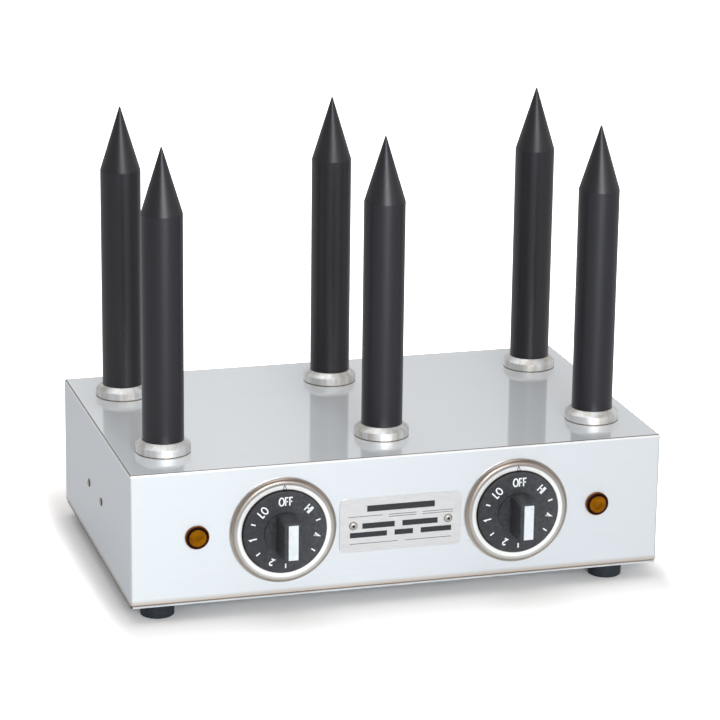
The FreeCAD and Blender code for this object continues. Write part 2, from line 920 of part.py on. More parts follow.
def make_regulators():
    """The energy regulators behind the dials, and the spindles that turn in them."""
    for name, x in control_places:
        body = keep(new_body(f"regulator_body_{name}"))
        block = sketch(body, "case", rise="-sheet_thickness")
        middle_rectangle(block, "regulator_width", "regulator_tall")
        pad(body, "case_block", block, "regulator_depth", down=True)
        fillet(body, "corners", "regulator_corner", upright)
        terminals = sketch(body, "terminals", rise="-sheet_thickness - regulator_depth")
        middle_rectangle(terminals, "terminal_pad_width", "terminal_pad_tall")
        pad(body, "terminal_pad", terminals, "terminal_pad_depth", down=True)
        bush = sketch(body, "bush", rise="-sheet_thickness")
        circle(bush, 0, 0, "regulator_bush_radius")
        pad(body, "bush_boss", bush, "sheet_thickness + regulator_bush_end")
        bore = sketch(body, "bore", rise="regulator_bush_end")
        circle(bore, 0, 0, "spindle_radius + spindle_running")
        pocket(body, "bored", bore, "regulator_bush_end + sheet_thickness + spindle_seat")
        holes = sketch(body, "screw_holes", rise="-sheet_thickness")
        for _, end in SIDES:
            circle(holes, f"{end} * regulator_screw_pitch / 2", 0, "screw_thread")
        pocket(body, "tapped", holes, "regulator_screw_reach + spindle_end_gap")
        place(body, x, "front", "control_level", OUT_OF_FRONT)

        spindle = keep(new_body(f"regulator_spindle_{name}"))
        inner_end = "spindle_end_gap - sheet_thickness - spindle_seat"
        bar = sketch(spindle, "bar", rise=inner_end)
        circle(bar, 0, 0, "spindle_radius")
        pad(spindle, "shaft", bar, f"hub_top - spindle_end_gap - ({inner_end})")
        flat = sketch(spindle, "flat", rise="hub_top - spindle_end_gap")
        rectangle(
            flat, "-spindle_radius", "spindle_radius", "spindle_flat", "spindle_radius * 1.5"
        )
        pocket(spindle, "flattened", flat, "hub_depth - spindle_end_gap")
        place(spindle, x, "front", "control_level", OUT_OF_FRONT)

    reach = "bezel_floor + sheet_thickness + regulator_screw_reach"
    screw = machine_screw("regulator_screw_pattern", reach)
    places = [(x, "front - bezel_floor", "control_level") for x in regulator_screw_places]
    group("regulator_screws", screw, places, OUT_OF_FRONT)


def make_pilot_lamps():
    """Amber lenses on sealed lamp bodies, each held by a push-on clip."""
    for name, x in lamp_places:
        lens = keep(
            turned(
                f"pilot_lens_{name}",
                [
                    (0, "lens_height - lens_wall"),
                    ("lens_sleeve_radius - lens_wall", "lens_height - lens_wall"),
                    ("lens_sleeve_radius - lens_wall", "-lens_sleeve_depth"),
                    ("lens_sleeve_radius", "-lens_sleeve_depth"),
                    ("lens_sleeve_radius", 0),
                    ("lens_radius", 0),
                    ("lens_radius", "lens_flange"),
                    ("lens_face_radius", "lens_height"),
                    (0, "lens_height"),
                ],
            )
        )
        place(lens, x, "front", "lamp_level", OUT_OF_FRONT)
        shell = keep(
            turned(
                f"lamp_body_{name}",
                [
                    (0, "-lamp_length"),
                    ("lamp_radius", "-lamp_length"),
                    ("lamp_radius", 0),
                    ("lamp_bore", 0),
                    ("lamp_bore", "lamp_wall - lamp_length"),
                    (0, "lamp_wall - lamp_length"),
                ],
            )
        )
        place(shell, x, "front", "lamp_level", OUT_OF_FRONT)
    clip = turned(
        "lamp_clip_pattern",
        [
            ("lamp_radius + thread_clearance", 0),
            ("clip_radius", 0),
            ("clip_radius", "clip_thickness"),
            ("lamp_radius + thread_clearance", "clip_thickness"),
        ],
    )
    behind = "front + sheet_thickness + clip_thickness"
    group("lamp_clips", clip, [(x, behind, "lamp_level") for _, x in lamp_places], OUT_OF_FRONT)


def blind_rivet(name, grip):
    """A set blind rivet: domed head on z = 0, spread tail past the sheets it grips."""
    return turned(
        name,
        [
            (0, "rivet_head_height - mandrel_depth"),
            ("mandrel_radius", "rivet_head_height - mandrel_depth"),
            ("mandrel_radius", "rivet_head_height", "rivet_head_round", "right"),
            ("rivet_head_radius", 0),
            ("rivet_radius", 0),
            ("rivet_radius", f"-({grip})"),
            ("rivet_tail_radius", f"-({grip})"),
            ("rivet_radius", f"-({grip}) - rivet_tail_height"),
            (0, f"-({grip}) - rivet_tail_height"),
        ],
    )


def make_rating_plate():
    """A bare plate on the front, with a rivet at each end."""
    body = keep(new_body("rating_plate"))
    blank = sketch(body, "blank")
    middle_rectangle(blank, "plate_width", "plate_tall")
    pad(body, "sheet", blank, "plate_thickness")
    fillet(body, "corners", "plate_corner", upright)
    holes = sketch(body, "holes", rise="plate_thickness")
    for x in plate_rivet_places:
        circle(holes, x, 0, "rivet_hole")
    pocket(body, "pierced", holes, "plate_thickness")
    place(body, 0, "front", "plate_level", OUT_OF_FRONT)
    rivet = blind_rivet("plate_rivet_pattern", "plate_thickness + sheet_thickness")
    places = [(x, "front - plate_thickness", "plate_level") for x in plate_rivet_places]
    group("plate_rivets", rivet, places, OUT_OF_FRONT)


def make_terminal_bracket():
    """A folded bracket riveted to the left end, with a shelf for the terminal block."""
    body = keep(new_body("terminal_bracket"))
    fold = sketch(body, "fold", "XZ_Plane", "-(bracket_middle + bracket_length / 2)")
    outline(
        fold,
        [
            ("bracket_wall", "shelf_level"),
            ("bracket_wall + shelf_width", "shelf_level"),
            ("bracket_wall + shelf_width", "block_floor"),
            ("bracket_wall + bracket_thickness", "block_floor"),
            ("bracket_wall + bracket_thickness", "shelf_level + bracket_tall"),
            ("bracket_wall", "shelf_level + bracket_tall"),
        ],
    )
    pad(body, "strip", fold, "bracket_length")
    wall = sketch(body, "rivet_holes", "YZ_Plane", "bracket_wall")
    for y in side_rivet_places:
        circle(wall, y, "side_rivet_level", "rivet_hole")
    pocket(body, "wall_pierced", wall, "bracket_thickness", down=False)
    shelf = sketch(body, "screw_holes", rise="block_floor")
    for _, end in SIDES:
        circle(shelf, "block_middle", f"bracket_middle + {end} * block_screw_pitch / 2", "screw_thread")
    pocket(body, "shelf_pierced", shelf, "bracket_thickness")
    rivet = blind_rivet("side_rivet_pattern", "sheet_thickness + bracket_thickness")
    places = [("left_end", y, "side_rivet_level") for y in side_rivet_places]
    group("side_rivets", rivet, places, OUT_OF_LEFT)


def make_terminal_block():
    """The block where the supply meets the inside wiring."""
    body = keep(new_body("terminal_block"))
    blank = sketch(body, "blank")
    middle_rectangle(blank, "block_width", "block_length")
    pad(body, "moulding", blank, "block_tall")
    fillet(body, "corners", "block_corner", upright)
    wells = sketch(body, "wells", rise="block_tall")
    for number in TERMINALS:
        circle(wells, 0, f"{number} * well_pitch", "well_radius")
    pocket(body, "recessed", wells, "well_depth")
    holes = sketch(body, "screw_holes", rise="block_tall")
    for _, end in SIDES:
        circle(holes, 0, f"{end} * block_screw_pitch / 2", "screw_hole")
    pocket(body, "pierced", holes, "block_tall")
    place(body, "block_middle", "bracket_middle", "block_floor")
    screw = machine_screw("terminal_screw_pattern", "block_tall + bracket_thickness")
    places = [
        ("block_middle", f"bracket_middle + {end} * block_screw_pitch / 2", "block_floor + block_tall")
        for _, end in SIDES
    ]
    group("terminal_screws", screw, places)


def make_gland():
    """The cable gland in the back: body, dome nut, rubber seal and locknut."""
    at_back = ("-gland_offset", "back", "gland_level", OUT_OF_BACK)
    body = keep(
        turned(
            "gland_body",
            [
                ("gland_bore_radius", "-gland_thread_length"),
                ("gland_thread_radius", "-gland_thread_length"),
                ("gland_thread_radius", "gland_flange"),
                ("gland_neck_radius", "gland_flange"),
                ("gland_neck_radius", "gland_flange + gland_neck_length"),
                ("seal_radius + collar_clearance", "gland_flange + gland_neck_length"),
                ("seal_radius + collar_clearance", "seal_seat"),
                ("gland_bore_radius", "seal_seat"),
            ],
        )
    )
    flats = sketch(body, "flats")
    hexagon(flats, "gland_across")
    circle(flats, 0, 0, "gland_bore_radius + collar_clearance")
    pad(body, "flange", flats, "gland_flange")
    place(body, *at_back)

    nut = keep(new_body("gland_nut"))
    sides = sketch(nut, "sides", rise="gland_flange")
    hexagon(sides, "gland_across")
    pad(nut, "hexagon", sides, "gland_nut_hex")
    revolved(
        nut,
        "dome",
        [
            (0, "gland_flange + gland_nut_hex"),
            ("gland_across / 2", "gland_flange + gland_nut_hex", "gland_dome_round", "left"),
            ("gland_dome_radius", "gland_nut_top"),
            (0, "gland_nut_top"),
        ],
    )
    inner = sketch(nut, "inner", rise="gland_flange")
    circle(inner, 0, 0, "gland_neck_radius + thread_clearance")
    pocket(nut, "tapped", inner, "gland_nut_length - gland_nut_end", down=False)
    mouth = sketch(nut, "mouth", rise="gland_nut_top")
    circle(mouth, 0, 0, "gland_nut_mouth")
    pocket(nut, "opened", mouth, "gland_nut_end")
    place(nut, *at_back)

    seal = keep(
        turned(
            "gland_seal",
            [
                ("seal_bore_radius", "seal_seat"),
                ("seal_radius", "seal_seat"),
                ("seal_radius", "seal_seat + seal_length"),
                ("seal_bore_radius", "seal_seat + seal_length"),
            ],
        )
    )
    place(seal, *at_back)

    locknut = keep(
        hex_nut(
            "gland_locknut",
            "gland_locknut_across",
            "gland_locknut_height",
            "gland_thread_radius + thread_clearance",
        )
    )
    inside = "back - sheet_thickness - gland_locknut_height"
    place(locknut, "-gland_offset", inside, "gland_level", OUT_OF_BACK)


def make_earth_stud():
    """A stud welded inside the back, with two nuts that hold the earth lead's lug."""
    stud = keep(
        turned(
            "earth_stud",
            [
                (0, "-sheet_thickness - earth_flange - earth_length"),
                ("earth_radius", "-sheet_thickness - earth_flange - earth_length"),
                ("earth_radius", "-sheet_thickness - earth_flange"),
                ("earth_flange_radius", "-sheet_thickness - earth_flange"),
                ("earth_flange_radius", "-sheet_thickness"),
                (0, "-sheet_thickness"),
            ],
        )
    )
    place(stud, "-earth_offset", "back", "gland_level", OUT_OF_BACK)
    nut = hex_nut(
        "earth_nut_pattern",
        "earth_nut_across",
        "earth_nut_height",
        "earth_radius + thread_clearance",
    )
    places = [
        ("-earth_offset", f"back - earth_nut_start - {count} * earth_nut_height", "gland_level")
        for count in (1, 2)
    ]
    group("earth_nuts", nut, places, OUT_OF_BACK)


def lead_path(points, bend):
    """Straight runs between points, joined by arcs of one radius at the turns."""
    edges, start = [], points[0]
    for before, corner, after in zip(points, points[1:], points[2:]):
        inward = (before - corner).normalize()
        outward = (after - corner).normalize()
        half_turn = (math.pi - inward.getAngle(outward)) / 2
        setback = bend * math.tan(half_turn)
        first = corner + inward * setback
        last = corner + outward * setback
        bisector = (inward + outward).normalize()
        centre = corner + bisector * (bend / math.cos(half_turn))
        middle = centre - bisector * bend
        edges.append(Part.LineSegment(start, first).toShape())
        edges.append(Part.Arc(first, middle, last).toShape())
        start = last
    edges.append(Part.LineSegment(start, points[-1]).toShape())
    return Part.Wire(edges)


def lead(route, radius, bend):
    """A round lead along a route of formulas, checked against its length."""
    points = [Vector(*(value(text) for text in point)) for point in route]
    path = lead_path(points, value(bend))
    along = (points[1] - points[0]).normalize()
    ring = Part.Wire([Part.Circle(points[0], along, value(radius)).toShape()])
    solid = path.makePipeShell([ring], True, True)
    expected = math.pi * value(radius) ** 2 * path.Length
    if abs(solid.Volume - expected) > expected / 100:
        raise RuntimeError(f"a lead of {path.Length:.0f} mm has lost its shape")
    return solid


def wiring(name, solids):
    """A node of leads, whose shapes are worked out from the sizes."""
    made = doc.addObject("Part::Feature", name)
    made.Label = name
    made.Shape = Part.makeCompound(solids) if len(solids) > 1 else solids[0]
    made.Placement = Placement()
    return keep(made)


def make_heater_leads():
    """Leads from the regulators' terminals to the tails of the six heaters."""
    solids = []
    far_row, near_row = "row_offset", "-(row_offset)"
    routes = (
        ("control_offset + outer_lead_offset", "column_pitch", near_row, "high_lead_height", SIDES),
        ("control_offset + middle_lead_offset", "column_pitch", far_row, "low_lead_height", SIDES),
        ("control_offset - inner_lead_offset", "0", near_row, "low_lead_height", SIDES[:1]),
        ("control_offset - inner_lead_offset", "0", far_row, "low_lead_height", SIDES[1:]),
    )
    for start_x, heater_x, heater_y, level, sides in routes:
        for _, side in sides:
            route = [
                (f"{side} * ({start_x})", "regulator_rear", level),
                (f"{side} * ({start_x})", heater_y, level),
                (f"{side} * {heater_x}", heater_y, level),
                (f"{side} * {heater_x}", heater_y, "heater_tail_level"),
            ]
            solids.append(lead(route, "heater_lead_radius", "heater_lead_bend"))
    wiring("heater_leads", solids)


def make_lamp_leads():
    """Leads from the lamp bodies round to the regulators' terminals."""
    solids = []
    lamp_rear = "front + lamp_length"
    turn_back = "regulator_rear + lamp_lead_reach"
    for _, side in SIDES:
        x = f"{side} * (control_offset + outer_lead_offset)"
        route = [
            (f"{side} * lamp_offset", lamp_rear, "lamp_level"),
            (f"{side} * lamp_offset", turn_back, "lamp_level"),
            (x, turn_back, "lamp_level"),
            (x, "regulator_rear", "lamp_level"),
        ]
        solids.append(lead(route, "lamp_lead_radius", "lamp_lead_bend"))
    wiring("lamp_leads", solids)


def make_supply_leads():
    """The lead from the terminal block to the left regulator, and the link between the two."""
    left, right = "-control_offset", "control_offset"
    level = "supply_lead_height"
    supply = [
        ("block_left + block_width", "bracket_middle", level),
        (left, "bracket_middle", level),
        (left, "regulator_rear", level),
    ]
    behind = "regulator_rear + link_lead_reach"
    link = [
        (left, "regulator_rear", "link_lead_height"),
        (left, behind, "link_lead_height"),
        (right, behind, "link_lead_height"),
        (right, "regulator_rear", "link_lead_height"),
    ]
    solids = [lead(route, "supply_lead_radius", "supply_lead_bend") for route in (supply, link)]
    wiring("supply_leads", solids)


def make_earth_lead():
    """The lead from the terminal block to its ring lug, under the nuts of the earth stud."""
    lug_back = "back - sheet_thickness - earth_flange"
    lug_middle = f"{lug_back} - lug_thickness / 2"
    start_y = "bracket_middle + well_pitch"
    turn_x = "-earth_offset - lug_radius - earth_lead_reach"
    route = [
        ("block_left + block_width", start_y, "gland_level"),
        (turn_x, start_y, "gland_level"),
        (turn_x, lug_middle, "gland_level"),
        ("-earth_offset - lug_radius + lug_crimp", lug_middle, "gland_level"),
    ]
    cable = lead(route, "lamp_lead_radius", "heater_lead_bend")
    backwards = Vector(0, -1, 0)
    centre = Vector(value("-earth_offset"), value(lug_back), value("gland_level"))
    thickness = value("lug_thickness")
    ring = Part.makeCylinder(value("lug_radius"), thickness, centre, backwards)
    eye = Part.makeCylinder(value("earth_radius + thread_clearance"), thickness, centre, backwards)
    wiring("earth_lead", [cable.fuse(ring.cut(eye))])


fill_sheet()
make_casing()
make_base_plate()
make_base_fasteners()
make_feet()
make_spikes()
make_spike_fasteners()
make_heaters()
make_bezels()
make_knobs()
make_regulators()
make_pilot_lamps()
make_rating_plate()
make_terminal_bracket()
make_terminal_block()
make_gland()
make_earth_stud()
make_heater_leads()
make_lamp_leads()
make_supply_leads()
make_earth_lead()
doc.recompute()

for item in doc.Objects:
    if "Invalid" in item.State or "Error" in item.State:
        raise RuntimeError(f"{item.Label} failed to build")
for item in parts:
    if item.Shape.isNull() or not item.Shape.isValid() or not item.Shape.Solids:
        raise RuntimeError(f"{item.Label} has no sound shape")

os.makedirs("parts", exist_ok=True)
for item in parts:
    item.Shape.exportStep(f"parts/{item.Label}.step")
    print(f"{item.Label}: {len(item.Shape.Solids)} solid, {item.Shape.Volume:.0f} mm3")
print(f"{len(parts)} nodes")
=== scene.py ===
"""The looks of a bun warmer: finishes, dial lettering, print on the plate, light and camera.

Everything is in metres in the part's own frame: the origin is on the surface it stands on, under the
middle of the box, +X is to the right of someone facing the front, +Y to the back and +Z up.
"""

import json
import math

import bpy
import numpy as np
from mathutils import Matrix, Vector


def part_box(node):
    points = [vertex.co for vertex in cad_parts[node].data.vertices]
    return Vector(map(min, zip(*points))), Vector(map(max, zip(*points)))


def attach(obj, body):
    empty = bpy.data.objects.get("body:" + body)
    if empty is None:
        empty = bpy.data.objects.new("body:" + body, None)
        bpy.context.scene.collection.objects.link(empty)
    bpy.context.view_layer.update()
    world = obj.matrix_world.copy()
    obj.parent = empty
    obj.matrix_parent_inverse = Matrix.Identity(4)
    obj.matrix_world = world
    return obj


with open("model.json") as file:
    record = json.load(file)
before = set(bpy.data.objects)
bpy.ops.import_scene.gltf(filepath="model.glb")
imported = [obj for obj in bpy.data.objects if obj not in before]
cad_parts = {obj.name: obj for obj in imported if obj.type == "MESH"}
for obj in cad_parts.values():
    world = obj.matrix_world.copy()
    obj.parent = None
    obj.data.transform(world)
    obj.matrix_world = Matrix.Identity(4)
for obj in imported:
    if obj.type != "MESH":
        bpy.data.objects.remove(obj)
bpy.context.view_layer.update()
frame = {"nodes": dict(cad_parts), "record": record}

MM = 0.001

# Camera, solved from the corners of the box, the spikes and the dials: its place and clipping in metres,
# its turns in degrees, its lens and sensor in millimetres
CAMERA_PLACE = (-0.5247, -1.8056, 0.6802)
CAMERA_YAW = 16.297
CAMERA_PITCH = 16.389
CAMERA_ROLL = 0.721
CAMERA_LENS = 150.96
SENSOR = 36.0
CAMERA_NEAR = 0.05
CAMERA_FAR = 60.0


def linear(text):
    """An sRGB hex colour as linear red, green, blue and alpha."""
    parts = [int(text[i : i + 2], 16) / 255 for i in (0, 2, 4)]
    return tuple(c / 12.92 if c <= 0.04045 else ((c + 0.055) / 1.055) ** 2.4 for c in parts) + (1.0,)


def per(mm):
    """How often a pattern of this many millimetres repeats in a metre."""
    return 1000.0 / mm


# Material nodes


def add(tree, kind, inputs=None, out=0, **settings):
    """Add a node with its settings, and a value or a link on each input named; give one of its outputs."""
    made = tree.nodes.new(f"ShaderNode{kind}")
    for name, setting in settings.items():
        setattr(made, name, setting)
    for socket, given in (inputs or {}).items():
        if isinstance(given, bpy.types.NodeSocket):
            tree.links.new(given, made.inputs[socket])
        else:
            made.inputs[socket].default_value = given
    return made.outputs[out] if made.outputs else made


def new_material(name):
    """An empty material, its tree, and the object coordinates."""
    made = bpy.data.materials.new(name)
    made.use_nodes = True
    made.node_tree.nodes.clear()
    return made, made.node_tree, add(made.node_tree, "TexCoord", out="Object")


def radius_about(tree, place, across, up):
    """Distance in metres, in the plane of the front, from the nearer of two points mirrored in x = 0."""
    parts = add(tree, "SeparateXYZ", {0: place}).node.outputs
    side = add(tree, "Math", {0: parts["X"]}, operation="ABSOLUTE")
    side = add(tree, "Math", {0: side, 1: across}, operation="SUBTRACT")
    rise = add(tree, "Math", {0: parts["Z"], 1: up}, operation="SUBTRACT")
    flat = add(tree, "CombineXYZ", {0: side, 1: rise})
    return add(tree, "VectorMath", {0: flat}, out="Value", operation="LENGTH")


# Upward part of the sheet's normal, where the top fold starts and ends and where the bottom one turns
TOP_FOLD_STARTS = (0.995, 0.97)
TOP_FOLD_ENDS = (0.70, 0.82)
BOTTOM_FOLD = (-0.1, -0.6)
# Height above the casing's foot, in millimetres, where the painted beige reflection fades out and where it
# is full, and how much of its colour it then gives
HAZE_OUT = 4.5
HAZE_FULL = 1.5
HAZE_SHARE = 0.6
# Share of the clear reflection beside the broad glare
CLEAR_SHARE = 0.36


def brushed_stainless():
    """Brushed stainless sheet: fine streaks, a broad glare, and a clear reflection of what is near.

    The brush lines run along the box, and front to back on its ends, so a reflection spreads across them.
    """
    made, tree, place = new_material("brushed_stainless_sheet")
    facing = add(tree, "SeparateXYZ", {0: add(tree, "TexCoord", out="Normal")}).node.outputs
    endwise = add(tree, "Math", {0: facing["X"]}, operation="ABSOLUTE")
    on_end = add(tree, "Math", {0: endwise, 1: 0.7}, operation="GREATER_THAN")
    turned = add(tree, "Mapping", {"Vector": place, "Rotation": (0, 0, math.pi / 2)})
    along = add(tree, "Mix", {0: on_end, 4: place, 5: turned}, out=1, data_type="VECTOR")
    across = add(tree, "Mix", {0: on_end, 4: (0, 1, 1), 5: (0, 0, 1)}, out=1, data_type="VECTOR")
    # Real brush lines are 0.05 mm apart; these are drawn 0.8 mm apart so that they show
    fine = add(tree, "Mapping", {"Vector": along, "Scale": (per(40.0), per(0.8), per(0.8))})
    fine = add(tree, "TexNoise", {"Vector": fine, "Scale": 1.0, "Detail": 3.0, "Roughness": 0.6})
    broad = add(tree, "Mapping", {"Vector": along, "Scale": (per(120.0), per(4.0), per(4.0))})
    broad = add(tree, "TexNoise", {"Vector": broad, "Scale": 1.0, "Detail": 2.0})
    cloud = add(tree, "TexNoise", {"Vector": place, "Scale": per(90.0), "Detail": 2.0})
    tone = add(tree, "Mix", {0: fine, 6: linear("dfe2e5"), 7: linear("f6f8fa")}, out=2, data_type="RGBA")
    tone = add(tree, "Mix", {0: cloud, 6: tone, 7: linear("e9ecef")}, out=2, data_type="RGBA")
    # The folds: a painted dark line where the top turns down, a painted reflection of the dark room, and a
    # browner one where the bottom turns in
    begun = {"Value": facing["Z"], "From Min": TOP_FOLD_STARTS[0], "From Max": TOP_FOLD_STARTS[1]}
    begun = add(tree, "MapRange", begun)
    ended = {"Value": facing["Z"], "From Min": TOP_FOLD_ENDS[0], "From Max": TOP_FOLD_ENDS[1]}
    ended = add(tree, "MapRange", ended)
    fold = add(tree, "Math", {0: begun, 1: ended}, operation="MULTIPLY")
    # Painted reflection: the top fold is darkened as if it mirrored the dark room
    tone = add(tree, "Mix", {0: fold, 6: tone, 7: linear("878480")}, out=2, data_type="RGBA")
    # A painted white glint beside the painted dark line, on the way down to the front
    painted_glint = add(tree, "MapRange", {"Value": facing["Z"], "From Min": 0.0, "From Max": 0.15})
    painted_glint = add(tree, "Math", {0: painted_glint, 1: fold}, operation="SUBTRACT", use_clamp=True)
    flat = add(tree, "Math", {0: facing["Z"], 1: 0.9}, operation="LESS_THAN")
    painted_glint = add(tree, "Math", {0: painted_glint, 1: flat}, operation="MULTIPLY")
    tone = add(tree, "Mix", {0: painted_glint, 6: tone, 7: linear("ffffff")}, out=2, data_type="RGBA")
    # Painted shade: the bottom fold is browned, a painted reflection of the shaded floor beneath
    under = {"Value": facing["Z"], "From Min": BOTTOM_FOLD[0], "From Max": BOTTOM_FOLD[1]}
    under = add(tree, "MapRange", under)
    tone = add(tree, "Mix", {0: under, 6: tone, 7: linear("7a6048")}, out=2, data_type="RGBA")
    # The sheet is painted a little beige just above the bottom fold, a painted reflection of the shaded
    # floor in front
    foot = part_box("casing")[0].z
    level = add(tree, "SeparateXYZ", {0: place}, out="Z")
    haze = {"Value": level, "From Min": foot + HAZE_OUT * MM, "From Max": foot + HAZE_FULL * MM}
    haze["To Max"] = HAZE_SHARE
    haze = add(tree, "MapRange", haze)
    tone = add(tree, "Mix", {0: haze, 6: tone, 7: linear("c2aa92")}, out=2, data_type="RGBA")
    glare = add(tree, "Math", {0: fine, 1: 0.12, 2: 0.58}, operation="MULTIPLY_ADD")
    height = add(tree, "Math", {0: fine, 1: broad}, operation="ADD")
    grooves = add(tree, "Bump", {"Height": height, "Distance": 0.005 * MM})
    ripple = add(tree, "Bump", {"Height": height, "Distance": 0.0006 * MM})
    sheet = {"Base Color": tone, "Metallic": 1.0, "Tangent": across}
    soft = sheet | {"Roughness": glare, "Normal": grooves, "Anisotropic": 0.6}
    soft = add(tree, "BsdfPrincipled", soft)
    clear = sheet | {"Roughness": 0.06, "Normal": ripple, "Anisotropic": 0.3}
    clear = add(tree, "BsdfPrincipled", clear)
    both = add(tree, "MixShader", {0: CLEAR_SHARE, 1: soft, 2: clear})
    add(tree, "OutputMaterial", {"Surface": both})
    return made


def plain(name, low, high, grain_mm, roughness, depth_mm, stretch=(1.0, 1.0, 1.0), **surface):
    """A finish of two tones mottled by one grain, which also varies its gloss and its height."""
    made, tree, place = new_material(name)
    scale = tuple(per(grain_mm * part) for part in stretch)
    grain = add(tree, "Mapping", {"Vector": place, "Scale": scale})
    grain = add(tree, "TexNoise", {"Vector": grain, "Scale": 1.0, "Detail": 3.0, "Roughness": 0.6})
    spread = add(tree, "MapRange", {"Value": grain, "From Min": 0.3, "From Max": 0.7})
    tone = add(tree, "Mix", {0: spread, 6: linear(low), 7: linear(high)}, out=2, data_type="RGBA")
    gloss = {"Value": spread, "To Min": roughness[0], "To Max": roughness[1]}
    shading = {
        "Base Color": tone,
        "Roughness": add(tree, "MapRange", gloss),
        "Normal": add(tree, "Bump", {"Height": grain, "Distance": depth_mm * MM}),
    }
    shading.update({key.replace("_", " "): given for key, given in surface.items()})
    add(tree, "OutputMaterial", {"Surface": add(tree, "BsdfPrincipled", shading)})
    return made


def rolled_sheet():
    """Rolled stainless sheet left as it comes: faint blotches, and painted shade darkening its ends."""
    made, tree, place = new_material("rolled_stainless_sheet")
    endwise = add(tree, "SeparateXYZ", {0: add(tree, "TexCoord", out="Normal")}, out="X")
    endwise = add(tree, "Math", {0: endwise}, operation="ABSOLUTE")
    at_end = add(tree, "Math", {0: endwise, 1: 0.5}, operation="GREATER_THAN")
    blotch = add(tree, "TexNoise", {"Vector": place, "Scale": per(12.0), "Detail": 3.0, "Roughness": 0.6})
    tone = add(tree, "Mix", {0: blotch, 6: linear("dfe2e4"), 7: linear("f4f6f7")}, out=2, data_type="RGBA")
    # Painted shade: the sheet's ends are painted dark brown, as they lie in shade
    tone = add(tree, "Mix", {0: at_end, 6: tone, 7: linear("4c4634")}, out=2, data_type="RGBA")
    shading = {
        "Base Color": tone,
        "Metallic": 1.0,
        "Roughness": add(tree, "Math", {0: blotch, 1: 0.14, 2: 0.28}, operation="MULTIPLY_ADD"),
        "Normal": add(tree, "Bump", {"Height": blotch, "Distance": 0.01 * MM}),
    }
    add(tree, "OutputMaterial", {"Surface": add(tree, "BsdfPrincipled", shading)})
    return made


def non_stick_coating():
    """Baked non-stick coating on aluminium: near black, satin, with a fine sprayed grain.

    Its gloss varies a little in long patches down the spike, as spraying leaves it.
    """
    made, tree, place = new_material("baked_non_stick_coating")
    grain = add(tree, "TexNoise", {"Vector": place, "Scale": per(0.6), "Detail": 3.0, "Roughness": 0.6})
    streak = add(tree, "Mapping", {"Vector": place, "Scale": (per(8.0), per(8.0), per(60.0))})
    streak = add(tree, "TexNoise", {"Vector": streak, "Scale": 1.0, "Detail": 2.0})
    tone = add(tree, "Mix", {0: grain, 6: linear("04040a"), 7: linear("0a0a14")}, out=2, data_type="RGBA")
    tone = add(tree, "Mix", {0: streak, 6: tone, 7: linear("070711")}, out=2, data_type="RGBA")
    shading = {
        "Base Color": tone,
        "Roughness": add(tree, "Math", {0: streak, 1: 0.05, 2: 0.34}, operation="MULTIPLY_ADD"),
        "Specular IOR Level": 0.66,
        "Specular Tint": linear("fefbff"),
        "Normal": add(tree, "Bump", {"Height": grain, "Distance": 0.02 * MM}),
    }
    add(tree, "OutputMaterial", {"Surface": add(tree, "BsdfPrincipled", shading)})
    return made


def turned_steel():
    """Bright turned steel of the collars: rings from the tool and a warm tint in the bands."""
    made, tree, place = new_material("bright_turned_steel")
    # Tool marks 0.1 mm apart are drawn 0.6 mm apart so that they show
    rings = add(tree, "Mapping", {"Vector": place, "Scale": (per(30.0), per(30.0), per(0.6))})
    rings = add(tree, "TexNoise", {"Vector": rings, "Scale": 1.0, "Detail": 2.0})
    stain = add(tree, "Mapping", {"Vector": place, "Scale": (per(5.0), per(5.0), per(30.0))})
    stain = add(tree, "TexNoise", {"Vector": stain, "Scale": 1.0, "Detail": 2.0})
    spread = add(tree, "MapRange", {"Value": stain, "From Min": 0.35, "From Max": 0.65})
    tone = add(tree, "Mix", {0: rings, 6: linear("dad9d7"), 7: linear("fdfdfd")}, out=2, data_type="RGBA")
    tint = add(tree, "Mix", {0: spread, 6: linear("bcb3a4"), 7: linear("fafdff")}, out=2, data_type="RGBA")
    tone = add(tree, "Mix", {0: 0.5, 6: tone, 7: tint}, out=2, data_type="RGBA")
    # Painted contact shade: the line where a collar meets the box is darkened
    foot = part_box("spike_collar_front_left")[0].z
    level = add(tree, "SeparateXYZ", {0: place}, out="Z")
    above_contact_shade = {"Value": level, "From Min": foot + 0.3 * MM, "From Max": foot + 0.8 * MM}
    above_contact_shade = add(tree, "MapRange", above_contact_shade)
    tone = add(tree, "Mix", {0: above_contact_shade, 6: linear("6b5a3c"), 7: tone}, out=2, data_type="RGBA")
    shading = {
        "Base Color": tone,
        "Metallic": 1.0,
        "Roughness": add(tree, "Math", {0: rings, 1: 0.16, 2: 0.4}, operation="MULTIPLY_ADD"),
        "Normal": add(tree, "Bump", {"Height": rings, "Distance": 0.02 * MM}),
    }
    add(tree, "OutputMaterial", {"Surface": add(tree, "BsdfPrincipled", shading)})
    return made


# Tones across a bezel, each from its radius in millimetres: inner wall, band, crest, turned line, rim; the
# inner wall's dark brown is painted shade in the gap round the dial
BEZEL_TONES = (
    (27.0, "6a5641"),
    (27.5, "fbfaf9"),
    (29.4, "ffffff"),
    (30.2, "e0deda"),
    (31.0, "dcdad6"),
    (31.5, "ded6cd"),
    (32.2, "bcb1a4"),
    (33.2, "d7ccbd"),
    (34.1, "ede7dd"),
)
# Radii in millimetres between which the satin band gives way to the brighter rim
BEZEL_CREST = (29.4, 30.4)


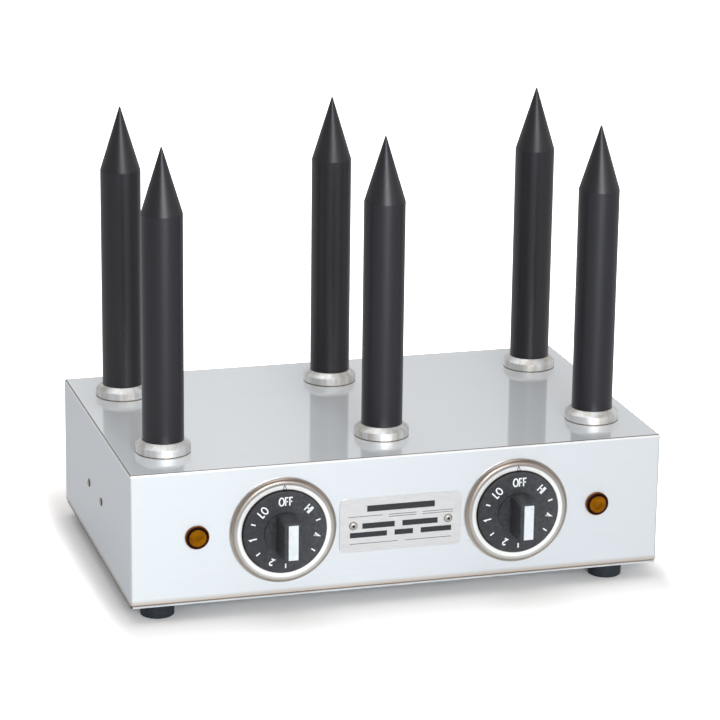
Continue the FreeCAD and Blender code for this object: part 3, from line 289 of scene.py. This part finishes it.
def plated_bezel():
    """Bright nickel plate: a near white satin band inside the crest, and a warmer, glossier rim."""
    made, tree, place = new_material("bright_nickel_plate")
    low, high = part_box("bezel_right")
    radius = radius_about(tree, place, (low.x + high.x) / 2, (low.z + high.z) / 2)
    outside = {"Value": radius, "From Min": BEZEL_CREST[0] * MM, "From Max": BEZEL_CREST[1] * MM}
    outside = add(tree, "MapRange", outside, interpolation_type="SMOOTHSTEP")
    wipe = add(tree, "TexNoise", {"Vector": place, "Scale": per(7.0), "Detail": 3.0})
    inner, outer = BEZEL_TONES[0][0], BEZEL_TONES[-1][0]
    along = add(tree, "MapRange", {"Value": radius, "From Min": inner * MM, "From Max": outer * MM})
    ramp = add(tree, "ValToRGB", {0: along}).node
    for spot, colour in BEZEL_TONES[1:-1]:
        ramp.color_ramp.elements.new((spot - inner) / (outer - inner)).color = linear(colour)
    ramp.color_ramp.elements[0].color = linear(BEZEL_TONES[0][1])
    ramp.color_ramp.elements[-1].color = linear(BEZEL_TONES[-1][1])
    smudge = add(tree, "Mix", {0: wipe, 6: linear("f2f0ed"), 7: linear("ffffff")}, out=2, data_type="RGBA")
    smudged = {0: 1.0, 6: ramp.outputs[0], 7: smudge}
    tone = add(tree, "Mix", smudged, out=2, data_type="RGBA", blend_type="MULTIPLY")
    # Painted shade: the upper part of the rim is darkened, holding back its reflection of the light
    # overhead
    level = add(tree, "SeparateXYZ", {0: place}, out="Z")
    level = add(tree, "MapRange", {"Value": level, "From Min": low.z, "From Max": high.z})
    upper_rim_shade = add(tree, "Math", {0: level, 1: outside}, operation="MULTIPLY")
    dull = add(tree, "Mix", {0: upper_rim_shade, 6: linear("ffffff"), 7: linear("c0babc")}, out=2, data_type="RGBA")
    tone = add(tree, "Mix", {0: 1.0, 6: tone, 7: dull}, out=2, data_type="RGBA", blend_type="MULTIPLY")
    satin = add(tree, "Math", {0: wipe, 1: 0.1, 2: 0.5}, operation="MULTIPLY_ADD")
    clear = add(tree, "Math", {0: wipe, 1: 0.1, 2: 0.27}, operation="MULTIPLY_ADD")
    shading = {
        "Base Color": tone,
        "Metallic": 1.0,
        "Roughness": add(tree, "Mix", {0: outside, 2: satin, 3: clear}),
        "Normal": add(tree, "Bump", {"Height": wipe, "Distance": 0.004 * MM}),
    }
    add(tree, "OutputMaterial", {"Surface": add(tree, "BsdfPrincipled", shading)})
    return made


def textured_phenolic():
    """Compression-moulded phenolic with a spark-eroded texture: charcoal, with a broken satin sheen.

    Real pits are about 0.3 mm across; the grain is drawn at 2.2 mm so that it shows.
    """
    made, tree, place = new_material("textured_black_phenolic")
    grain = add(tree, "TexNoise", {"Vector": place, "Scale": per(2.2), "Detail": 4.0, "Roughness": 0.8})
    cloud = add(tree, "TexNoise", {"Vector": place, "Scale": per(9.0), "Detail": 2.0})
    pits = add(tree, "MapRange", {"Value": grain, "From Min": 0.3, "From Max": 0.7})
    tone = add(tree, "Mix", {0: pits, 6: linear("1c1c20"), 7: linear("66666a")}, out=2, data_type="RGBA")
    tone = add(tree, "Mix", {0: cloud, 6: tone, 7: linear("3c3e41")}, out=2, data_type="RGBA")
    # A painted sheen: the moulding is painted paler towards its right side, where light falls on it more
    low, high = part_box("knob_right")
    width = high.x - low.x
    across = add(tree, "SeparateXYZ", {0: place}, out="X")
    centre = add(tree, "Math", {0: across}, operation="SIGN")
    centre = add(tree, "Math", {0: centre, 1: (low.x + high.x) / 2}, operation="MULTIPLY")
    across = add(tree, "Math", {0: across, 1: centre}, operation="SUBTRACT")
    wear_and_sheen = add(tree, "MapRange", {"Value": across, "From Min": -width, "From Max": width})
    pale = add(tree, "Mix", {0: wear_and_sheen, 6: linear("8a8a90"), 7: linear("ffffff")}, out=2, data_type="RGBA")
    tone = add(tree, "Mix", {0: 1.0, 6: tone, 7: pale}, out=2, data_type="RGBA", blend_type="MULTIPLY")
    shading = {
        "Base Color": tone,
        "Roughness": add(tree, "Math", {0: pits, 1: 0.25, 2: 0.35}, operation="MULTIPLY_ADD"),
        "Specular IOR Level": 0.45,
        "Normal": add(tree, "Bump", {"Height": grain, "Distance": 0.12 * MM}),
    }
    add(tree, "OutputMaterial", {"Surface": add(tree, "BsdfPrincipled", shading)})
    return made


# Radii in millimetres where the dark ring, a painted shade on the lens's sloping side, and the brown rim of
# a lens begin and are full
LENS_RING = (5.2, 5.6)
LENS_RIM = (6.8, 7.2)


def amber_moulding():
    """Clear amber polycarbonate over an unlit lamp: a mottled orange-brown face inside a dark ring of
    painted shade.
    """
    made, tree, place = new_material("moulded_amber_polycarbonate")
    low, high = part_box("pilot_lens_right")
    radius = radius_about(tree, place, (low.x + high.x) / 2, (low.z + high.z) / 2)
    ring = {"Value": radius, "From Min": LENS_RING[0] * MM, "From Max": LENS_RING[1] * MM}
    ring = add(tree, "MapRange", ring, interpolation_type="SMOOTHSTEP")
    rim = {"Value": radius, "From Min": LENS_RIM[0] * MM, "From Max": LENS_RIM[1] * MM}
    rim = add(tree, "MapRange", rim, interpolation_type="SMOOTHSTEP")
    flecks = add(tree, "TexNoise", {"Vector": place, "Scale": per(1.6), "Detail": 3.0, "Roughness": 0.6})
    glow = add(tree, "TexNoise", {"Vector": place, "Scale": per(6.0), "Detail": 1.0})
    glow = add(tree, "MapRange", {"Value": glow, "From Min": 0.35, "From Max": 0.65})
    deep = add(tree, "Mix", {0: flecks, 6: linear("5c3200"), 7: linear("8a5200")}, out=2, data_type="RGBA")
    face = add(tree, "Mix", {0: flecks, 6: linear("784900"), 7: linear("aa6c04")}, out=2, data_type="RGBA")
    face = add(tree, "Mix", {0: glow, 6: deep, 7: face}, out=2, data_type="RGBA")
    # Painted shade: the dark ring where the sloping side of the lens turns away from the light
    tone = add(tree, "Mix", {0: ring, 6: face, 7: linear("1c0a0a")}, out=2, data_type="RGBA")
    tone = add(tree, "Mix", {0: rim, 6: tone, 7: linear("703a06")}, out=2, data_type="RGBA")
    shading = {
        "Base Color": tone,
        "Roughness": add(tree, "Math", {0: flecks, 1: 0.15, 2: 0.08}, operation="MULTIPLY_ADD"),
        "Specular IOR Level": 0.05,
        "Normal": add(tree, "Bump", {"Height": flecks, "Distance": 0.08 * MM}),
    }
    add(tree, "OutputMaterial", {"Surface": add(tree, "BsdfPrincipled", shading)})
    return made


# Radius of a rivet's head, in millimetres
RIVET_HEAD = 2.8


def drawn_rivets(name, radius_to_head, hole_mm, rim_mm, middle, rim):
    """Drawn aluminium of blind rivets: pale heads, with painted shade in the hole of the mandrel and at the
    edge.

    radius_to_head gives the distance in metres from the middle of the nearer head. The hole's radius and
    the one from which the edge is dark are in millimetres; middle and rim are the tones between and there.
    """
    made, tree, place = new_material(name)
    radius = radius_to_head(tree, place)
    hole = {"Value": radius, "From Min": hole_mm * 0.6 * MM, "From Max": hole_mm * MM}
    hole = add(tree, "MapRange", hole)
    edge = {"Value": radius, "From Min": (rim_mm - 0.6) * MM, "From Max": rim_mm * MM}
    edge = add(tree, "MapRange", edge)
    wear_and_sheen = add(tree, "TexNoise", {"Vector": place, "Scale": per(1.2), "Detail": 3.0})
    head = add(tree, "Mix", {0: wear_and_sheen, 6: linear("b5aea5"), 7: linear(middle)}, out=2, data_type="RGBA")
    # Painted shade: the hole of the mandrel and the rounded edge of the head are darkened
    tone = add(tree, "Mix", {0: hole, 6: linear("2b2826"), 7: head}, out=2, data_type="RGBA")
    tone = add(tree, "Mix", {0: edge, 6: tone, 7: linear(rim)}, out=2, data_type="RGBA")
    shading = {
        "Base Color": tone,
        "Metallic": 0.7,
        "Roughness": add(tree, "Math", {0: wear_and_sheen, 1: 0.2, 2: 0.35}, operation="MULTIPLY_ADD"),
        "Normal": add(tree, "Bump", {"Height": wear_and_sheen, "Distance": 0.03 * MM}),
    }
    add(tree, "OutputMaterial", {"Surface": add(tree, "BsdfPrincipled", shading)})
    return made


def to_plate_rivet(tree, place):
    """Distance from the nearer of the plate's rivets, which lie left and right of its middle."""
    low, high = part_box("plate_rivets")
    return radius_about(tree, place, high.x - RIVET_HEAD * MM, (low.z + high.z) / 2)


def to_side_rivet(tree, place):
    """Distance from the nearer of the rivets in the left end, which lie one behind the other."""
    low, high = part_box("side_rivets")
    middle = (0.0, -(low.y + high.y) / 2, 0.0)
    turned = add(tree, "VectorMath", {0: place, 1: middle}, operation="ADD")
    turned = add(tree, "Mapping", {"Vector": turned, "Rotation": (0, 0, math.pi / 2)})
    return radius_about(tree, turned, (high.y - low.y) / 2 - RIVET_HEAD * MM, (low.z + high.z) / 2)


METAL = {"Metallic": 1.0}
RUBBER = {"Specular_IOR_Level": 0.35}
# How much longer the plate's grain is along the plate than across it
ROLLED_GRAIN = (20.0, 1.0, 1.0)

# Each finish of the record: the real material, its two tones, grain and gloss, and what that gives the eye
FINISHES = {
    "casing_steel": brushed_stainless(),
    "base_steel": rolled_sheet(),
    # Zinc plating: cool, bright and a little mottled
    "fastener_steel": plain("bright_zinc_plate", "b8bcc2", "d6d8da", 1.5, (0.2, 0.36), 0.01, **METAL),
    # Moulded rubber: dark blue-grey and matt, with a dusty bloom
    "foot_rubber": plain("moulded_rubber", "1b2026", "2b3239", 3.0, (0.55, 0.75), 0.03, **RUBBER),
    "spike_coating": non_stick_coating(),
    "collar_steel": turned_steel(),
    # Drawn tube: grey-brown, darkened a little by heat
    "heater_steel": plain("drawn_heater_sheath", "85827d", "a9a7a3", 4.0, (0.25, 0.4), 0.01, **METAL),
    "bezel_chrome": plated_bezel(),
    "knob_plastic": textured_phenolic(),
    # Polished ABS: white and softly shining
    "insert_white": plain("polished_white_abs", "dadee2", "e8ebee", 4.0, (0.25, 0.4), 0.01),
    # Spring steel: blued by tempering, with a soft gloss
    "spring_steel": plain("blued_spring_steel", "4c5464", "6b6f78", 4.0, (0.25, 0.4), 0.01, **METAL),
    # Heat-proof phenolic: brown-black and matt
    "regulator_plastic": plain("moulded_brown_phenolic", "2a2624", "38322e", 2.0, (0.4, 0.55), 0.03),
    # Free-cutting brass: yellow, with a turned sheen
    "spindle_brass": plain("turned_brass", "b8934c", "d4b06a", 2.0, (0.2, 0.35), 0.01, **METAL),
    "lens_amber": amber_moulding(),
    # Moulded nylon: black and matt, finely grained
    "lamp_plastic": plain("black_lamp_nylon", "18181a", "222225", 1.0, (0.4, 0.5), 0.02),
    # Anodised aluminium: pale, even, with a faint rolled grain
    "plate_aluminium": plain(
        "anodised_aluminium_plate", "d2d0cf", "e0dedd", 0.4, (0.4, 0.5), 0.004, ROLLED_GRAIN, Metallic=0.6
    ),
    "rivet_aluminium": drawn_rivets("drawn_rivet_aluminium", to_plate_rivet, 1.2, 2.6, "d8d5d1", "8f887a"),
    # Zinc-plated sheet: an even cool grey with broad mottling
    "bracket_steel": plain("zinc_plated_sheet", "a9abae", "c4c6c8", 6.0, (0.3, 0.45), 0.01, **METAL),
    # Moulded polyamide: off-white with a soft sheen
    "block_plastic": plain("white_terminal_polyamide", "cfccc2", "dedbd2", 2.0, (0.4, 0.5), 0.02),
    # Moulded nylon: black with a slight sheen
    "gland_plastic": plain("black_gland_nylon", "1a1a1b", "252527", 0.8, (0.35, 0.5), 0.02),
    # Soft rubber: black and quite matt
    "seal_rubber": plain("soft_black_rubber", "151515", "1f1f1f", 1.0, (0.6, 0.8), 0.02, **RUBBER),
    # Woven glass sleeve: cream, with a thread of 0.8 mm and a soft edge of light
    "lead_sleeve": plain(
        "woven_glass_sleeve", "b9b3a2", "d8d3c4", 0.8, (0.6, 0.85), 0.08, Sheen_Weight=0.2
    ),
    # Extruded insulation: patches of green and yellow, smooth
    "earth_sleeve": plain("extruded_earth_insulation", "3d7a22", "c4b324", 5.0, (0.4, 0.5), 0.02),
}
# Finishes of single nodes, whose pattern lies about other centres than that of their slot
NODE_FINISHES = {
    "side_rivets": drawn_rivets("drawn_side_rivet_aluminium", to_side_rivet, 0.5, 2.2, "f4f0e4", "4c462e"),
}
# Screen ink: nearly even, with edges that wear
WHITE_INK = plain("white_screen_ink", "f2f4f6", "fcfdfe", 0.5, (0.45, 0.6), 0.004)
BLACK_INK = plain("black_screen_ink", "1b1b1f", "2a2a2f", 0.5, (0.4, 0.5), 0.004)
GREY_INK = plain("grey_screen_ink", "5c5a64", "74727a", 0.5, (0.4, 0.5), 0.004)


def dress_nodes():
    """Give every CAD node the finish of its slot."""
    for part in frame["record"]["subparts"]:
        node = frame["nodes"][part["node"]]
        node.data.materials.clear()
        node.data.materials.append(NODE_FINISHES.get(part["node"], FINISHES[part["material_slot"]]))


# Lettering, drawn as strokes of one width


def arc(x, y, across, along, start, end, count=13):
    """Points on an ellipse about x, y, from one angle to another in degrees."""
    angles = np.radians(np.linspace(start, end, count))
    return np.stack([x + across * np.cos(angles), y + along * np.sin(angles)], axis=1)


def path(*points):
    """A stroke through the points given."""
    return np.array(points, float)


# Each letter is its width and a list of strokes, in a box one unit tall
GLYPHS = {
    "O": (0.72, [arc(0.36, 0.5, 0.32, 0.46, 90, 450, 33)]),
    "F": (0.46, [path((0.42, 0.96), (0.04, 0.96), (0.04, 0.0)), path((0.04, 0.5), (0.36, 0.5))]),
    "L": (0.42, [path((0.04, 1.0), (0.04, 0.04), (0.4, 0.04))]),
    "H": (
        0.62,
        [path((0.04, 1.0), (0.04, 0.0)), path((0.58, 1.0), (0.58, 0.0)), path((0.04, 0.5), (0.58, 0.5))],
    ),
    "I": (0.1, [path((0.05, 1.0), (0.05, 0.0))]),
    "1": (0.3, [path((0.02, 0.78), (0.22, 0.98), (0.22, 0.0))]),
    "2": (
        0.52,
        [np.concatenate([arc(0.26, 0.7, 0.22, 0.26, 165, -25, 15), path((0.04, 0.04), (0.5, 0.04))])],
    ),
    "3": (
        0.52,
        [
            np.concatenate(
                [arc(0.24, 0.73, 0.19, 0.23, 150, -80, 13), arc(0.24, 0.27, 0.23, 0.25, 80, -150, 13)]
            )
        ],
    ),
    "4": (0.56, [path((0.52, 0.26), (0.03, 0.26), (0.4, 0.98), (0.4, 0.0))]),
}


def ribbon(points, width):
    """A flat band along a stroke.

    Each point p gives p + k * n and p - k * n. There n is the normal of the mean direction t of the two
    stretches that meet at p, and k is width / 2 / (t . d), where d is the direction after p: a mitre.
    """
    closed = np.allclose(points[0], points[-1])
    if closed:
        points = points[:-1]
        before, after = np.roll(points, 1, axis=0), np.roll(points, -1, axis=0)
    else:
        before = np.concatenate([2 * points[:1] - points[1:2], points[:-1]])
        after = np.concatenate([points[1:], 2 * points[-1:] - points[-2:-1]])
    inward = points - before
    outward = after - points
    inward /= np.linalg.norm(inward, axis=1, keepdims=True)
    outward /= np.linalg.norm(outward, axis=1, keepdims=True)
    tangent = inward + outward
    tangent /= np.linalg.norm(tangent, axis=1, keepdims=True)
    normal = np.stack([-tangent[:, 1], tangent[:, 0]], axis=1)
    widen = 1 / np.maximum((tangent * outward).sum(axis=1, keepdims=True), 0.4)
    left = points + normal * widen * width / 2
    right = points - normal * widen * width / 2
    count = len(points)
    spots = np.concatenate([left, right])
    index = np.arange(count if closed else count - 1)
    following = (index + 1) % count
    faces = np.stack([index, index + count, following + count, following], axis=1)
    return spots, faces


def mesh_object(name, verts, faces, finish, body):
    """A piece from arrays of points and faces, with its finish, riding on a body."""
    data = bpy.data.meshes.new(name)
    data.from_pydata(verts.tolist(), [], faces.tolist())
    data.validate()
    data.update()
    piece = bpy.data.objects.new(name, data)
    bpy.context.scene.collection.objects.link(piece)
    data.materials.append(finish)
    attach(piece, body)
    return piece


# Thickness of a printed film, in millimetres
INK = 0.06


def raise_ink(piece):
    """Give a flat print the thickness of its film."""
    solid = piece.modifiers.new("thickness", "SOLIDIFY")
    solid.thickness = INK * MM
    solid.offset = 1.0
    return piece


# Width of a stroke in millimetres, and the gap between letters as a share of the letter box
STROKE = 0.9
LETTER_GAP = 0.12


def lettering(text, height, width):
    """Strokes of a word about its own middle, in a letter box of this size: points and faces, in mm."""
    spots, faces, pen, total = [], [], 0.0, 0
    for letter in text:
        across, strokes = GLYPHS[letter]
        for line in strokes:
            drawn = (line + (pen, 0.0)) * (width, height)
            band, quads = ribbon(drawn, STROKE)
            spots.append(band)
            faces.append(quads + total)
            total += len(band)
        pen += across + LETTER_GAP
    spots = np.concatenate(spots)
    spots -= ((pen - LETTER_GAP) * width / 2, height / 2)
    return spots, np.concatenate(faces)


# Words round a dial: text, clockwise angle from the top in degrees, and in millimetres the radius of the
# word's middle and the height and width of a letter box
DIAL_WORDS = (
    ("OFF", 0.0, 20.1, 5.4, 4.7),
    ("LO", -45.0, 20.3, 5.2, 4.7),
    ("HI", 45.5, 20.5, 5.0, 4.6),
    ("1", -99.0, 20.8, 4.6, 4.4),
    ("2", -154.5, 20.7, 4.4, 4.4),
    ("3", 153.0, 18.8, 3.8, 3.8),
    ("4", 99.0, 20.1, 3.9, 4.0),
)
# Ticks: clockwise angles from the top in degrees, and their inner and outer ends in millimetres
TICK_ANGLES = (-72.0, -126.0, -180.0, 126.0, 72.0)
TICK_START = 20.2
TICK_END = 23.2
# How far right of the dial's middle the print lies, in millimetres
MARKS_ASIDE = 0.3
# How far the dial's face stands in front of the panel, in millimetres
DIAL_FACE = 5.8


def dial_marks(side):
    """White ink on the dial: words with their tops outwards, and a tick halfway between numbers.

    A mark's point (u, v) goes to centre + u * tangent + (radius + v) * outward, where outward is the
    direction at the mark's clockwise angle.
    """
    low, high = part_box(f"knob_{side}")
    centre = ((low.x + high.x) / 2 + MARKS_ASIDE * MM, (low.z + high.z) / 2)
    face_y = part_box("casing")[0].y - DIAL_FACE * MM
    marks = [(lettering(text, tall, wide), angle, radius) for text, angle, radius, tall, wide in DIAL_WORDS]
    middle = (TICK_START + TICK_END) / 2
    half = (TICK_END - TICK_START) / 2
    marks += [(ribbon(path((0, -half), (0, half)), STROKE), angle, middle) for angle in TICK_ANGLES]
    spots, faces, total = [], [], 0
    for (band, quads), angle, radius in marks:
        turn = math.radians(angle)
        outward = np.array([math.sin(turn), math.cos(turn)])
        tangent = np.array([math.cos(turn), -math.sin(turn)])
        flat = band[:, :1] * tangent + (radius + band[:, 1:]) * outward
        spots.append(flat)
        faces.append(quads + total)
        total += len(band)
    flat = np.concatenate(spots) * MM
    verts = np.stack([centre[0] + flat[:, 0], np.full(len(flat), face_y), centre[1] + flat[:, 1]], axis=1)
    faces = np.concatenate(faces)
    name = f"dial_marks_{side}"
    return raise_ink(mesh_object(name, verts, faces, WHITE_INK, f"control_{side}"))


# Corners of the line round the pointer, in millimetres from the middle of the dial, and its width
POINTER = path((-1.13, 27.5), (1.13, 27.5), (0.0, 29.98), (-1.13, 27.5))
POINTER_LINE = 0.55


def pointer_line(side):
    """Grey line round the face of the pointer at the top of a bezel.

    The closed ribbon (u, v) through POINTER lies at (centre + u, front of the bezel, centre + v).
    """
    low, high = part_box(f"bezel_{side}")
    band, faces = ribbon(POINTER, POINTER_LINE)
    across = (low.x + high.x) / 2 + band[:, 0] * MM
    up = (low.z + high.z) / 2 + band[:, 1] * MM
    verts = np.stack([across, np.full(len(band), low.y), up], axis=1)
    return raise_ink(mesh_object(f"pointer_line_{side}", verts, faces, GREY_INK, "housing"))


# Print on the plate, in millimetres from its middle: left, right, bottom and top of each bar
PLATE_BARS = (
    (-22.0, 22.0, 8.6, 12.6),
    (-25.0, -4.0, -2.4, 1.2),
    (1.0, 24.0, -2.4, 1.2),
    (-33.0, -9.0, -8.0, -4.6),
    (-4.0, 8.0, -8.0, -4.6),
    (13.0, 33.0, -8.0, -4.6),
)
PLATE_RULES = (
    (-34.0, -12.0, 5.6, 6.0),
    (-8.0, 10.0, 5.6, 6.0),
    (14.0, 34.0, 5.6, 6.0),
    (-8.0, 10.0, 4.2, 4.6),
    (14.0, 34.0, 4.2, 4.6),
    (-33.0, -2.0, -12.2, -11.8),
    (3.0, 33.0, -12.2, -11.8),
)


def plate_print(name, bars, finish):
    """Flat ink on the plate: one rectangle for each bar.

    A bar's corners (u, v) lie at (middle of the plate + u, front of the plate, middle + v).
    """
    low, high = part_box("rating_plate")
    middle = ((low.x + high.x) / 2, (low.z + high.z) / 2)
    edges = np.array(bars) * MM
    across = middle[0] + edges[:, [0, 1, 1, 0]]
    up = middle[1] + edges[:, [2, 2, 3, 3]]
    verts = np.stack([across, np.full(across.shape, low.y), up], axis=2).reshape(-1, 3)
    faces = np.arange(len(verts)).reshape(-1, 4)
    return raise_ink(mesh_object(name, verts, faces, finish, "housing"))


# How pale the floor is to the camera near the object and far off, and where it lights or is mirrored
FLOOR_NEAR = 1.08
FLOOR_FAR = 2.6
FLOOR_LIGHT = 0.88
# How far off in metres it is as pale as it gets, and how much sooner that comes sideways and front to back
FLOOR_REACH = 0.19
FLOOR_SOONER = (5.5, 1.1, 0.0)
# Half the side of the sheet of paper, in metres
FLOOR_HALF = 12.0


def floor_material():
    """Seamless studio paper: faintly fibrous, and whiter to the camera the further it is from the box."""
    made, tree, place = new_material("studio_paper")
    fibre = add(tree, "TexNoise", {"Vector": place, "Scale": per(3.0), "Detail": 2.0})
    tone = add(tree, "Mix", {0: fibre, 6: linear("fffcfb"), 7: linear("fffefd")}, out=2, data_type="RGBA")
    cool = add(tree, "Mix", {0: fibre, 6: linear("f6f8fb"), 7: linear("fafcff")}, out=2, data_type="RGBA")
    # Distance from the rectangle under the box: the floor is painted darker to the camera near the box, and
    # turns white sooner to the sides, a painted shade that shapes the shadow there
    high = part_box("casing")[1]
    away = add(tree, "VectorMath", {0: place}, operation="ABSOLUTE")
    away = add(tree, "VectorMath", {0: away, 1: (high.x, high.y, 0.0)}, operation="SUBTRACT")
    away = add(tree, "VectorMath", {0: away, 1: (0.0, 0.0, 0.0)}, operation="MAXIMUM")
    away = add(tree, "VectorMath", {0: away, 1: FLOOR_SOONER}, operation="MULTIPLY")
    away = add(tree, "VectorMath", {0: away}, out="Value", operation="LENGTH")
    paler = {"Value": away, "From Max": FLOOR_REACH, "To Min": FLOOR_NEAR, "To Max": FLOOR_FAR}
    paler = add(tree, "MapRange", paler, interpolation_type="SMOOTHSTEP")
    seen = add(tree, "LightPath", out="Is Camera Ray")
    level = add(tree, "MapRange", {"Value": seen, "To Min": FLOOR_LIGHT, "To Max": paler})
    tone = add(tree, "Mix", {0: seen, 6: cool, 7: tone}, out=2, data_type="RGBA")
    tone = add(tree, "VectorMath", {0: tone, "Scale": level}, operation="SCALE")
    add(tree, "OutputMaterial", {"Surface": add(tree, "BsdfDiffuse", {"Color": tone})})
    return made


def make_stage():
    """A square of paper under the object."""
    corners = [(-1, -1, 0), (1, -1, 0), (1, 1, 0), (-1, 1, 0)]
    data = bpy.data.meshes.new("floor")
    data.from_pydata((np.array(corners) * FLOOR_HALF).tolist(), [], [(0, 1, 2, 3)])
    floor = bpy.data.objects.new("floor", data)
    bpy.context.scene.collection.objects.link(floor)
    data.materials.append(floor_material())


# Lamps: name, place, aim, width and height in metres, brightness and tint
LAMPS = (
    ("front_softbox", (0.02, -2.2, 0.5), (0.0, -0.1, 0.1), (0.7, 0.9), 7.6, "effbff"),
    ("high_softbox", (-0.1, -2.2, 0.95), (0.0, -0.1, 0.2), (1.1, 0.4), 7.0, "ffffff"),
    ("right_softbox", (1.15, -2.3, 0.8), (0.0, 0.0, 0.1), (1.6, 0.6), 1.0, "ffe6dc"),
    ("top_softbox", (-0.15, 0.1, 2.0), (0.0, 0.0, 0.0), (1.6, 1.6), 1.6, "ffffff"),
)


def softbox(name, place, aim, size, brightness, tint):
    """A rectangular lamp that looks as bright as a white surface times brightness."""
    lamp = bpy.data.lights.new(name, "AREA")
    lamp.shape = "RECTANGLE"
    lamp.size, lamp.size_y = size
    lamp.energy = brightness * math.pi * size[0] * size[1]
    lamp.color = linear(tint)[:3]
    made = bpy.data.objects.new(name, lamp)
    made.location = place
    made.rotation_euler = (Vector(aim) - Vector(place)).to_track_quat("-Z", "Y").to_euler()
    bpy.context.scene.collection.objects.link(made)


# The room's level at the horizon, how much brighter it is to the right, and its share overhead
ROOM_LIGHT = 0.66
ROOM_SLOPE = 0.12
ROOM_CEILING = 0.55
# Upward part of the direction where the walls end and where the ceiling has begun
WALLS_END = 0.35
CEILING_FROM = 0.8


def light_world():
    """White surroundings: full white to the camera, a plain level that falls to the left as light."""
    world = bpy.data.worlds.new("studio")
    bpy.context.scene.world = world
    world.use_nodes = True
    tree = world.node_tree
    tree.nodes.clear()
    side = add(tree, "SeparateXYZ", {0: add(tree, "TexCoord", out="Generated")}).node.outputs
    room = add(tree, "Math", {0: side["X"], 1: ROOM_SLOPE, 2: ROOM_LIGHT}, operation="MULTIPLY_ADD")
    rise = {"Value": side["Z"], "From Min": WALLS_END, "From Max": CEILING_FROM}
    rise.update({"To Min": 1.0, "To Max": ROOM_CEILING})
    room = add(tree, "Math", {0: room, 1: add(tree, "MapRange", rise)}, operation="MULTIPLY")
    seen = add(tree, "LightPath", out="Is Camera Ray")
    strength = add(tree, "Mix", {0: seen, 2: room, 3: 1.0})
    sky = add(tree, "Background", {"Color": (1, 1, 1, 1), "Strength": strength})
    add(tree, "OutputWorld", {"Surface": sky})


def aim_camera():
    """The photograph's camera: yaw to the right of +Y, pitch down, then roll about the view."""
    yaw, pitch, roll = (math.radians(a) for a in (CAMERA_YAW, CAMERA_PITCH, CAMERA_ROLL))
    level = math.cos(pitch)
    forward = Vector((math.sin(yaw) * level, math.cos(yaw) * level, -math.sin(pitch)))
    right = Vector((math.cos(yaw), -math.sin(yaw), 0.0))
    up = right.cross(forward)
    rolled_right = right * math.cos(roll) + up * math.sin(roll)
    rolled_up = up * math.cos(roll) - right * math.sin(roll)
    turn = Matrix((rolled_right, rolled_up, -forward)).transposed()
    lens = bpy.data.cameras.new("camera")
    lens.lens = CAMERA_LENS
    lens.sensor_width = SENSOR
    lens.clip_start = CAMERA_NEAR
    lens.clip_end = CAMERA_FAR
    camera = bpy.data.objects.new("camera", lens)
    camera.matrix_world = Matrix.Translation(CAMERA_PLACE) @ turn.to_4x4()
    bpy.context.scene.collection.objects.link(camera)
    bpy.context.scene.camera = camera


dress_nodes()
for side in ("left", "right"):
    dial_marks(side)
    pointer_line(side)
plate_print("plate_bars", PLATE_BARS, BLACK_INK)
plate_print("plate_rules", PLATE_RULES, GREY_INK)
make_stage()
light_world()
for lamp in LAMPS:
    softbox(*lamp)
aim_camera()

bpy.context.scene.view_settings.view_transform = "Standard"
